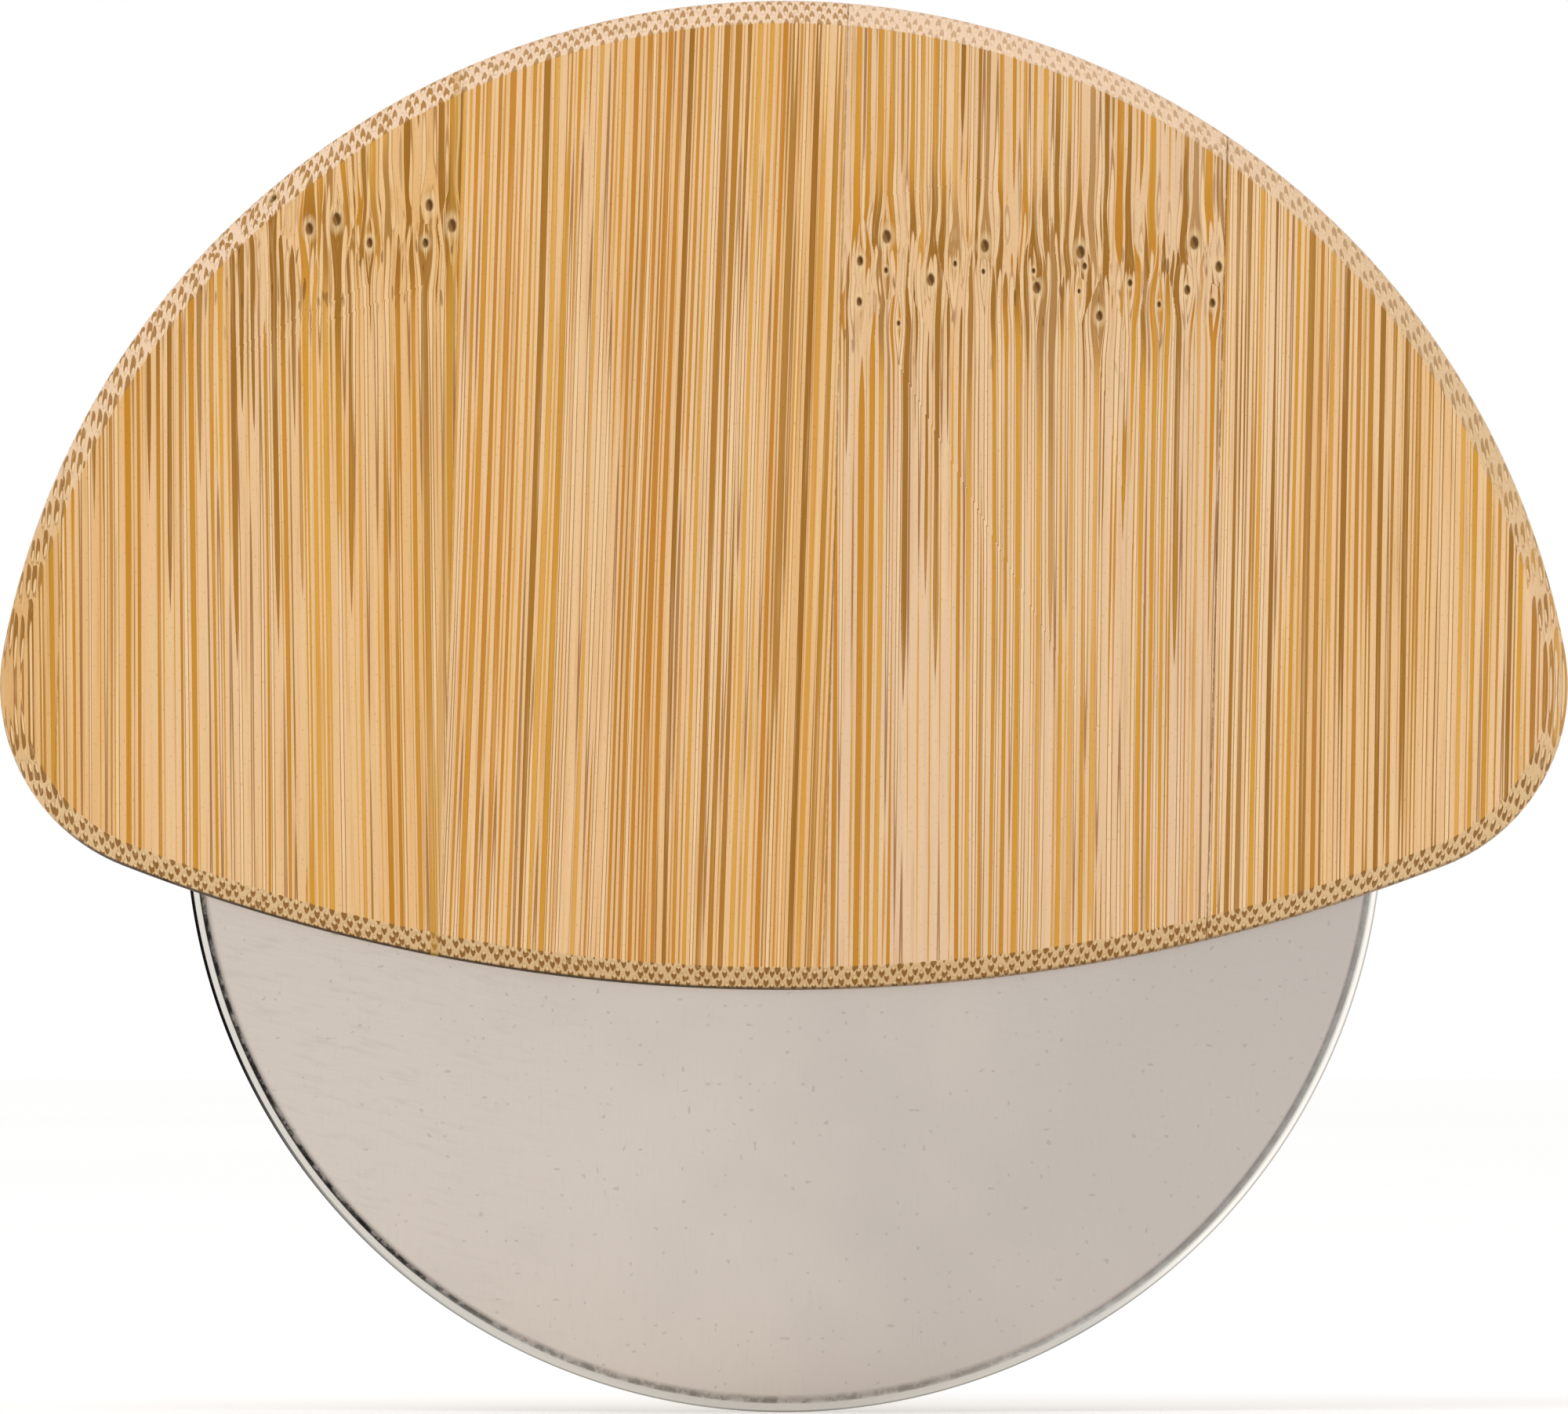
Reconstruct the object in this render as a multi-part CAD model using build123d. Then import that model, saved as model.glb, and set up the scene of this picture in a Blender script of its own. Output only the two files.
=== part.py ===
from build123d import *
import math
import os

# Palm-held pizza cutter: a round steel blade that turns inside a lens-shaped bamboo handle.
# Units are millimetres. It stands on the blade's lowest point: Z up, X across, front face to -Y.
# The blade turns about Y. The origin lies under the blade's centre, midway through the handle.

# Blade
blade_radius = 38.25
blade_thickness = 1.0
bevel_width = 1.4
edge_thickness = 0.16

# Handle outline: three kinds of arc, each tangent to the next
rim_clearance = 0.7
leg_wall = 11.05
crown_wall = 12.9
blade_reach = 27.0
corner_radius = 12.3
corner_rise = 8.15

# Outer edge all round: a slope, rounded where it runs into the side. The margin finds its edges.
edge_break = 1.4
edge_break_depth = 1.9
edge_round = 1.5
edge_pick_margin = 0.01

# Plies and their edge-glued strips. Each outer ply has two whole strips, one on each side of its middle
# joint, and a narrow edge strip; the strips between those and the outline take the rest of the width.
cheek_thickness = 6.4
strip_width = 24.4
front_middle_joint = 2.75
front_edge_strip = 3.5
back_middle_joint = 4.8
back_edge_strip = 6.0
core_crown_width = 26.0
core_edge_strip = 12.6
joint_lean = 1.5

# Hub: pin, bush and thrust washers
pin_radius = 2.0
pin_seat_depth = 3.6
pin_end_gap = 0.1
pin_chamfer = 0.3
running_clearance = 0.05
seat_clearance = 0.01
bush_wall = 2.45
bush_stand = 0.2
washer_thickness = 0.35
washer_margin = 3.0
end_float = 0.05

# Overrun of every cutting solid
overrun = 6.0

# Worked out from the sizes above
axle_z = blade_radius
pocket_radius = blade_radius + rim_clearance
half_width = pocket_radius + leg_wall
top_z = axle_z + pocket_radius + crown_wall
bottom_z = blade_reach
corner_x = half_width - corner_radius
corner_z = axle_z + corner_rise
bush_bore_radius = pin_radius + running_clearance
bush_radius = bush_bore_radius + bush_wall
bush_length = blade_thickness + 2 * bush_stand
core_thickness = bush_length + 2 * (end_float + washer_thickness)
handle_depth = core_thickness + 2 * cheek_thickness
lean_slope = math.tan(math.radians(joint_lean))


def tangent_arc_radius(rise):
    """Radius of an arc on the centre line, rise beyond the corner centres, tangent to both corner arcs."""
    return (corner_x**2 + rise**2 - corner_radius**2) / (2 * (rise - corner_radius))


def tangent_point(arc_z, arc_radius):
    """Where the right-hand corner arc meets the arc centred at arc_z on the centre line."""
    share = corner_radius / (arc_radius - corner_radius)
    return corner_x * (1 + share), corner_z + (corner_z - arc_z) * share


def at(x, z, y=0):
    """A point given by its place across and up, then by its depth."""
    return Vector(x, y, z)


def handle_outline(y):
    """Face of the handle's outline at depth y: top arc, two corner arcs and bottom arc."""
    top_radius = tangent_arc_radius(top_z - corner_z)
    bottom_radius = tangent_arc_radius(corner_z - bottom_z)
    top_x, top_tangent_z = tangent_point(top_z - top_radius, top_radius)
    bottom_x, bottom_tangent_z = tangent_point(bottom_z + bottom_radius, bottom_radius)
    top_arc = Edge.make_three_point_arc(
        at(-top_x, top_tangent_z, y),
        at(0, top_z, y),
        at(top_x, top_tangent_z, y),
    )
    right_arc = Edge.make_three_point_arc(
        at(top_x, top_tangent_z, y),
        at(half_width, corner_z, y),
        at(bottom_x, bottom_tangent_z, y),
    )
    bottom_arc = Edge.make_three_point_arc(
        at(bottom_x, bottom_tangent_z, y),
        at(0, bottom_z, y),
        at(-bottom_x, bottom_tangent_z, y),
    )
    left_arc = Edge.make_three_point_arc(
        at(-bottom_x, bottom_tangent_z, y),
        at(-half_width, corner_z, y),
        at(-top_x, top_tangent_z, y),
    )
    return Face(Wire([top_arc, right_arc, bottom_arc, left_arc]))


def slab(front_y, back_y):
    """The whole handle outline as a plate from front_y to back_y."""
    return extrude(handle_outline(front_y), amount=back_y - front_y, dir=(0, 1, 0))


def round_bar(radius, front_y, back_y):
    """A cylinder along the axle's line from front_y to back_y."""
    bar = Cylinder(radius, back_y - front_y, rotation=(90, 0, 0))
    return Pos(0, (front_y + back_y) / 2, axle_z) * bar


def cheek(side):
    """Outer ply with its sloped outer edge and blind pin seat. side is -1 for the front, 1 for the back."""
    inner_y = side * core_thickness / 2
    outer_y = side * handle_depth / 2
    break_y = outer_y - side * edge_break_depth
    plate = slab(min(inner_y, outer_y), max(inner_y, outer_y))
    face = max(plate.faces(), key=lambda each: side * each.center().Y)
    sloped = chamfer(face.edges(), edge_break, edge_break_depth, reference=face)
    near_y = break_y - edge_pick_margin
    far_y = break_y + edge_pick_margin
    rounded = fillet(sloped.edges().filter_by_position(Axis.Y, near_y, far_y), edge_round)
    seat_end = inner_y + side * pin_seat_depth
    seat = round_bar(pin_radius + seat_clearance, min(0, seat_end), max(0, seat_end))
    return rounded - seat


def core():
    """Middle ply: the outline with a round pocket for the blade."""
    half = core_thickness / 2
    pocket = round_bar(pocket_radius, -half - overrun, half + overrun)
    return slab(-half, half) - pocket


def joint_x(x_at_axle, z):
    """Where a glue joint, given by its x at the axle's height, lies at height z."""
    return x_at_axle + lean_slope * (z - axle_z)


def strip_cutter(left_x, right_x):
    """Leaning prism between two glue joints, deeper and taller than the handle."""
    low_z = bottom_z - overrun
    high_z = top_z + overrun
    near_y = -handle_depth / 2 - overrun
    corners = [
        at(joint_x(left_x, low_z), low_z, near_y),
        at(joint_x(right_x, low_z), low_z, near_y),
        at(joint_x(right_x, high_z), high_z, near_y),
        at(joint_x(left_x, high_z), high_z, near_y),
    ]
    face = Face(Wire.make_polygon(corners, close=True))
    return extrude(face, amount=handle_depth + 2 * overrun, dir=(0, 1, 0))


def strips(ply, joints):
    """Cuts a ply into strips at its glue joints, from left to right."""
    far = half_width + lean_slope * (top_z - bottom_z) + overrun
    bounds = [-far, *joints, far]
    return [ply & strip_cutter(left, right) for left, right in zip(bounds[:-1], bounds[1:])]


def cheek_joints(side, edge_strip, middle_joint):
    """Glue joints of an outer ply, its narrow strip on the left at the front and on the right at the back."""
    away = side * middle_joint
    joints = [-away - strip_width, -away, -away + strip_width, side * (half_width - edge_strip)]
    return sorted(joints)


def core_joints():
    """Glue joints of the middle ply, the same on both sides of the crown strip."""
    inner = core_crown_width / 2
    outer = half_width - core_edge_strip
    return [-outer, -inner, inner, outer]


def blade():
    """Steel disc with a bevel ground on both faces of its rim and a hole for the bush."""
    half = blade_thickness / 2
    edge_half = edge_thickness / 2
    bore = bush_radius + seat_clearance
    profile = [
        at(bore, axle_z, -half),
        at(blade_radius - bevel_width, axle_z, -half),
        at(blade_radius, axle_z, -edge_half),
        at(blade_radius, axle_z, edge_half),
        at(blade_radius - bevel_width, axle_z, half),
        at(bore, axle_z, half),
    ]
    face = Face(Wire.make_polygon(profile, close=True))
    return revolve(face, axis=Axis(at(0, axle_z), (0, 1, 0)))


def blade_bush():
    """Bush pressed into the blade. It stands a little proud of both faces and runs on the pin."""
    half = bush_length / 2
    return round_bar(bush_radius, -half, half) - round_bar(bush_bore_radius, -half - overrun, half + overrun)


def axle_pin():
    """Plain pin with broken ends, seated blind in both cheeks."""
    half = core_thickness / 2 + pin_seat_depth - pin_end_gap
    bar = round_bar(pin_radius, -half, half)
    return chamfer(bar.edges().filter_by(GeomType.CIRCLE), pin_chamfer)


def thrust_washer(side):
    """Washer flat against one cheek. side is -1 for the front and 1 for the back."""
    outer_y = side * core_thickness / 2
    inner_y = outer_y - side * washer_thickness
    front_y = min(inner_y, outer_y)
    back_y = max(inner_y, outer_y)
    ring = round_bar(bush_radius + washer_margin, front_y, back_y)
    return ring - round_bar(bush_bore_radius, front_y - overrun, back_y + overrun)


def cheek_strips(label, side, edge_strip, middle_joint):
    """An outer ply's strips under their names, numbered from left to right."""
    cut = strips(cheek(side), cheek_joints(side, edge_strip, middle_joint))
    return {f"{label}_strip_{k}": strip for k, strip in enumerate(cut, start=1)}


core_names = ["core_left_leg", "core_left_shoulder", "core_crown", "core_right_shoulder", "core_right_leg"]

nodes = {
    **cheek_strips("front", -1, front_edge_strip, front_middle_joint),
    **dict(zip(core_names, strips(core(), core_joints()))),
    **cheek_strips("back", 1, back_edge_strip, back_middle_joint),
    "blade": blade(),
    "blade_bush": blade_bush(),
    "axle_pin": axle_pin(),
    "front_washer": thrust_washer(-1),
    "back_washer": thrust_washer(1),
}

os.makedirs("parts", exist_ok=True)
for name, solid in nodes.items():
    export_step(solid, f"parts/{name}.step")
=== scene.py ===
"""Palm-held pizza cutter: a round steel blade that turns inside a lens-shaped bamboo handle.

Sizes in the classes are millimetres. Meshes are made in metres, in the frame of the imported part.
"""

import logging
import math
from dataclasses import dataclass, field
from enum import Enum
from functools import partial
from typing import Any, Iterator, Optional, Sequence, Union

import bmesh
import bpy
import numpy as np
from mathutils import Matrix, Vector


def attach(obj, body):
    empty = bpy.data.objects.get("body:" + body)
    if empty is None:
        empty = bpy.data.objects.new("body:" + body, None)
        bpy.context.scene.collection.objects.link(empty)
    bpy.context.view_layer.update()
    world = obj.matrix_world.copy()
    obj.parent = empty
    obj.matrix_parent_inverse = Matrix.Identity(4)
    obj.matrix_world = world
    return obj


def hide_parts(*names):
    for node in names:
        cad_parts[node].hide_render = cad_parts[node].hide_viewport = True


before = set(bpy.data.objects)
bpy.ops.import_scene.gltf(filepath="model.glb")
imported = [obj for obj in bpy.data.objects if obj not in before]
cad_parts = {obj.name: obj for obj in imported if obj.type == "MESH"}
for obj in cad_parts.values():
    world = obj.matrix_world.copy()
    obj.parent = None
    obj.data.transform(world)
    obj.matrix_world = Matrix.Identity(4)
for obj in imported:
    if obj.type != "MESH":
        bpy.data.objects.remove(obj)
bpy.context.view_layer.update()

LOG = logging.getLogger("pizza_cutter")
MM = 0.001
AXLE_Z = 38.25
HANDLE_DEPTH = 15.0
CORE_THICKNESS = 2.2
BLADE_RADIUS = 38.25
BLADE_BEVEL = 1.1
GLUE_GROOVE = 0.04
JOINT_LEAN = math.tan(math.radians(1.5))
CUT_SLACK = 1e-9
END_TURN = (0.12, 0.4)

Colour = tuple[float, float, float, float]
Number = Union[float, "Wire"]
Paint = Union[str, Colour, "Wire"]
Key = Union[int, str]
Triple = tuple["Wire", "Wire", "Wire"]
Place = tuple[Number, Number, Number]
Shift = tuple[float, float, float]
STILL = (0.0, 0.0, 0.0)


class Side(Enum):
    """Which outer ply of the handle."""

    FRONT = -1
    BACK = 1


class Body(Enum):
    """The two bodies that pieces ride on."""

    HANDLE = "handle"
    WHEEL = "wheel"


class Slot(Enum):
    """The record's material slots."""

    CHEEK = "bamboo_cheek"
    CORE = "bamboo_core"
    BLADE = "blade_steel"
    PIN = "pin_steel"
    NYLON = "nylon"


def colour(code: str) -> Colour:
    """Turns a hex colour into linear red, green, blue and alpha.

    Args:
        code: Six hex digits, such as "E3C08F".

    Returns:
        The colour as a shader socket takes it.
    """
    parts = [int(code[k : k + 2], 16) / 255 for k in (0, 2, 4)]
    linear = [p / 12.92 if p <= 0.04045 else ((p + 0.055) / 1.055) ** 2.4 for p in parts]
    return (linear[0], linear[1], linear[2], 1.0)


def add_object(name: str, data: Any) -> bpy.types.Object:
    """Makes an object and puts it in the scene.

    Args:
        name: Its name.
        data: The mesh, light or camera that it is made of.

    Returns:
        The object.
    """
    made = bpy.data.objects.new(name, data)
    bpy.context.scene.collection.objects.link(made)
    return made


@dataclass(frozen=True)
class Grit:
    """How coarse a noise is: its blotches to the millimetre on each axis, its finer octaves and their strength."""

    scales: tuple[float, float, float]
    detail: float = 1.0
    rough: float = 0.5


class Wire:
    """A node's output, which adds Math nodes when it is used in an expression."""

    def __init__(self, tree: "Tree", socket: bpy.types.NodeSocket) -> None:
        """Keeps the output socket and the tree that it belongs to."""
        self.tree = tree
        self.socket = socket

    def __add__(self, other: Number) -> "Wire":
        """Adds a number or another wire."""
        return self.tree.maths("ADD", self, other)

    def __radd__(self, other: float) -> "Wire":
        """Adds this wire to a number."""
        return self.tree.maths("ADD", other, self)

    def __sub__(self, other: Number) -> "Wire":
        """Takes away a number or another wire."""
        return self.tree.maths("SUBTRACT", self, other)

    def __rsub__(self, other: float) -> "Wire":
        """Takes this wire away from a number."""
        return self.tree.maths("SUBTRACT", other, self)

    def __mul__(self, other: Number) -> "Wire":
        """Multiplies by a number or another wire."""
        return self.tree.maths("MULTIPLY", self, other)

    def __rmul__(self, other: float) -> "Wire":
        """Multiplies a number by this wire."""
        return self.tree.maths("MULTIPLY", other, self)

    def __truediv__(self, other: Number) -> "Wire":
        """Divides by a number or another wire."""
        return self.tree.maths("DIVIDE", self, other)

    def __abs__(self) -> "Wire":
        """Drops the sign."""
        return self.tree.maths("ABSOLUTE", self)

    def root(self) -> "Wire":
        """Square root."""
        return self.tree.maths("SQRT", self)

    def power(self) -> "Wire":
        """Raises e to this power."""
        return self.tree.maths("EXPONENT", self)

    def held(self) -> "Wire":
        """This value held from 0 to 1."""
        return self.tree.maths("ADD", self, 0.0, clamp=True)

    def bell(self, middle: float, spread: float) -> "Wire":
        """A bell curve of this value.

        Args:
            middle: Where the bell is 1.
            spread: How far from the middle it falls to about a third.

        Returns:
            A value from 0 to 1.
        """
        away = (self - middle) / spread
        return (away * away * -1.0).power()

    def ramp(self, start: float, end: float, low: float = 0.0, high: float = 1.0) -> "Wire":
        """A smooth step of this value.

        Args:
            start: The value that gives low.
            end: The value that gives high.
            low: The result at and before start.
            high: The result at and after end.

        Returns:
            The stepped value.
        """
        values = {"Value": self, "From Min": start, "From Max": end, "To Min": low, "To Max": high}
        return self.tree.node("ShaderNodeMapRange", {"interpolation_type": "SMOOTHSTEP"}, values)


class Tree:
    """Adds nodes to a node tree of any kind."""

    def __init__(self, tree: bpy.types.NodeTree) -> None:
        """Keeps the node tree."""
        self.tree = tree

    def node(
        self,
        kind: str,
        settings: Optional[dict[str, Any]] = None,
        values: Optional[dict[Key, Any]] = None,
        result: Key = 0,
    ) -> Wire:
        """Adds one node of any type.

        Args:
            kind: The node's type.
            settings: Its own settings, set first.
            values: A number, colour or wire for each input, by place, identifier or name.
            result: Which output to return, by place, identifier or name.

        Returns:
            That output as a wire.
        """
        node = self.tree.nodes.new(kind)
        for key, value in (settings or {}).items():
            setattr(node, key, value)
        for key, value in (values or {}).items():
            socket = self._socket(node.inputs, key)
            if isinstance(value, Wire):
                self.tree.links.new(value.socket, socket)
            else:
                socket.default_value = value
        return Wire(self, self._socket(node.outputs, result))

    @staticmethod
    def _socket(sockets: Any, key: Key) -> bpy.types.NodeSocket:
        """Finds a socket.

        Args:
            sockets: A node's inputs or outputs.
            key: Its place, its identifier or its name.

        Returns:
            The socket.
        """
        if isinstance(key, int):
            return sockets[key]
        return next((s for s in sockets if s.identifier == key), None) or sockets[key]

    def close(self, kind: str, socket: str, wire: Wire) -> None:
        """Adds the output node of that type and links a wire to its socket."""
        output = self.tree.nodes.new(kind)
        self.tree.links.new(wire.socket, output.inputs[socket])

    def maths(self, operation: str, *values: Number, clamp: bool = False) -> Wire:
        """Adds a Math node, its result held from 0 to 1 if clamp is set."""
        settings = {"operation": operation, "use_clamp": clamp}
        return self.node("ShaderNodeMath", settings, dict(enumerate(values)))

    def vector(self, operation: str, first: Wire, second: Wire, result: Key = 0) -> Wire:
        """Adds a Vector Math node."""
        return self.node("ShaderNodeVectorMath", {"operation": operation}, {0: first, 1: second}, result)

    def point(self, x: Number, y: Number, z: Number = 0.0) -> Wire:
        """Joins three values into one vector."""
        return self.node("ShaderNodeCombineXYZ", values={0: x, 1: y, 2: z})

    def split(self, vector: Wire, kind: str = "ShaderNodeSeparateXYZ") -> Triple:
        """Splits a vector, or a colour, into its three values."""
        return tuple(self.node(kind, values={0: vector}, result=k) for k in range(3))


class Shade(Tree):
    """Makes the node tree of one material."""

    def __init__(self, name: str) -> None:
        """Starts an empty material.

        Args:
            name: The material's name.
        """
        self.material = bpy.data.materials.new(name)
        self.material.use_nodes = True
        super().__init__(self.material.node_tree)
        self.tree.nodes.clear()

    def place(self) -> Triple:
        """Where a point lies on the object, as x, y and z in millimetres."""
        point = self.node("ShaderNodeTexCoord", result="Object")
        return tuple(part * (1 / MM) for part in self.split(point))

    def facing(self) -> Triple:
        """The surface's direction on the object, as x, y and z."""
        return self.split(self.node("ShaderNodeTexCoord", result="Normal"))

    def attribute(self, name: str) -> Wire:
        """A value that the mesh keeps on its vertices under that name."""
        return self.node("ShaderNodeAttribute", {"attribute_name": name}, result="Fac")

    def noise(self, place: Place, grit: Grit, shift: Shift = STILL, result: Key = "Fac") -> Wire:
        """Soft noise about 0.5.

        Args:
            place: The x, y and z to read it at, in millimetres.
            grit: How coarse it is.
            shift: How far it is moved along each axis, in blotches.
            result: The node's output, which holds one noise or three as a colour.

        Returns:
            The noise.
        """
        at = [part * scale + move if move else part * scale for part, scale, move in zip(place, grit.scales, shift)]
        values = {"Vector": self.point(*at), "Scale": 1.0, "Detail": grit.detail, "Roughness": grit.rough}
        return self.node("ShaderNodeTexNoise", {"noise_dimensions": "3D"}, values, result)

    def noises(self, place: Place, grit: Grit, shift: Shift = STILL) -> Triple:
        """Three independent soft noises about 0.5, with the settings that noise takes."""
        return self.split(self.noise(place, grit, shift, "Color"), "ShaderNodeSeparateColor")

    def mix(self, first: Paint, second: Paint, share: Number) -> Wire:
        """Mixes two colours.

        Args:
            first: The colour at share 0, as a wire, four numbers or a hex code.
            second: The colour at share 1.
            share: How much of the second.

        Returns:
            The mixed colour.
        """
        settings = {"data_type": "RGBA", "blend_type": "MIX", "clamp_factor": True}
        low, high = (colour(each) if isinstance(each, str) else each for each in (first, second))
        values = {"Factor_Float": share, "A_Color": low, "B_Color": high}
        return self.node("ShaderNodeMix", settings, values, "Result_Color")

    def bump(self, height: Wire, rise: float) -> Wire:
        """Turns a height from 0 to 1 into a tilted normal, where 1 stands rise millimetres high."""
        values = {"Strength": 1.0, "Distance": rise * MM, "Height": height}
        return self.node("ShaderNodeBump", values=values)

    def finish(self, values: dict[str, Any]) -> bpy.types.Material:
        """Closes the tree with the surface shader.

        Args:
            values: A number, colour or wire for each of its inputs, by name.

        Returns:
            The finished material.
        """
        self.close("ShaderNodeOutputMaterial", "Surface", self.node("ShaderNodeBsdfPrincipled", values=values))
        return self.material


class Former(Tree):
    """Makes a Geometry Nodes group with named inputs and runs it."""

    def __init__(self, name: str, inputs: dict[str, str]) -> None:
        """Starts a group that takes a shape and gives one.

        Args:
            name: The group's name.
            inputs: The kind of each further input, by its name.
        """
        super().__init__(bpy.data.node_groups.new(name, "GeometryNodeTree"))
        face = self.tree.interface
        for label, kind in {"Geometry": "Geometry", **inputs}.items():
            face.new_socket(label, in_out="INPUT", socket_type=f"NodeSocket{kind}")
        face.new_socket("Geometry", in_out="OUTPUT", socket_type="NodeSocketGeometry")
        entry = self.tree.nodes.new("NodeGroupInput")
        self.given = {socket.name: Wire(self, socket) for socket in entry.outputs if socket.name}

    def form(self, kind: str, settings: Optional[dict[str, Any]] = None, **values: Any) -> Wire:
        """Adds a node with a value or wire for each input, by its name with _ for a space."""
        return self.node(kind, settings, {name.replace("_", " "): value for name, value in values.items()})

    def dress(self, shape: Wire, material: Wire) -> None:
        """Makes the shape real, gives it its material and closes the group.

        Args:
            shape: The shape.
            material: The material.
        """
        real = self.form("GeometryNodeRealizeInstances", Geometry=shape)
        dressed = self.form("GeometryNodeSetMaterial", Geometry=real, Material=material)
        self.close("NodeGroupOutput", "Geometry", dressed)

    def run(self, mesh: bpy.types.Mesh, values: dict[str, Any]) -> bpy.types.Mesh:
        """Runs the group on a mesh and keeps the result as a plain mesh.

        Args:
            mesh: The mesh that goes in.
            values: A value for each of the named inputs.

        Returns:
            The mesh that comes out.
        """
        holder = add_object("holder", mesh)
        modifier = holder.modifiers.new("nodes", "NODES")
        modifier.node_group = self.tree
        for item in self.tree.interface.items_tree:
            if item.in_out == "INPUT" and item.name in values:
                modifier[item.identifier] = values[item.name]
        graph = bpy.context.evaluated_depsgraph_get()
        graph.update()
        result = bpy.data.meshes.new_from_object(holder.evaluated_get(graph))
        holder.modifiers.clear()
        bpy.data.objects.remove(holder)
        return result


@dataclass(frozen=True)
class Knuckle:
    """A node of the cane across a strip, where the fibres bend and sprout small pits.

    Attributes:
        z: Its height, in millimetres.
        spread: How far above and below it reaches.
        step: How far outwards the fibres step as they pass it.
        length: The height over which they step.
        stagger: How much higher some fibres step than others.
        sideways, inwards: How far the fibres ripple there, across and into the wood.
        age: How much browner it is.
        ending: The share of the bundles that end there.
    """

    z: float
    spread: float = 5.0
    step: float = 0.6
    length: float = 6.5
    stagger: float = 12.0
    sideways: float = 0.8
    inwards: float = 1.1
    age: float = 0.32
    ending: float = 0.3
    ragged: Grit = Grit((1.1, 0.3, 1.0))
    ripples: Grit = Grit((0.5, 0.5, 0.16))
    dashes: Grit = Grit((2.4, 2.4, 0.4))


@dataclass(frozen=True)
class Bundle:
    """Half sizes and places of one fibre bundle's parts, across and into the cane's wall."""

    cap: tuple[float, float, float] = (0.185, 0.36, 0.14)
    rim: tuple[float, float, float] = (0.145, 0.22, -0.18)
    vessel: tuple[float, float, float] = (0.1, 0.16, -0.18)
    strand: tuple[float, float, float] = (0.075, 0.1, -0.5)


class Spot:
    """Where a shaded point lies on a strip, and how the surface is cut there."""

    def __init__(self, shade: Shade) -> None:
        """Reads the point's place and direction.

        Args:
            shade: The material being made.
        """
        self.place = shade.place()
        self.x, self.y, self.z = self.place
        self.facing = shade.facing()
        self.run = self.z - AXLE_Z
        self.straight = self.x - self.run * JOINT_LEAN
        self.end = abs(self.facing[2]).ramp(*END_TURN)
        self.flat = 1.0 - self.end


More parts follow.
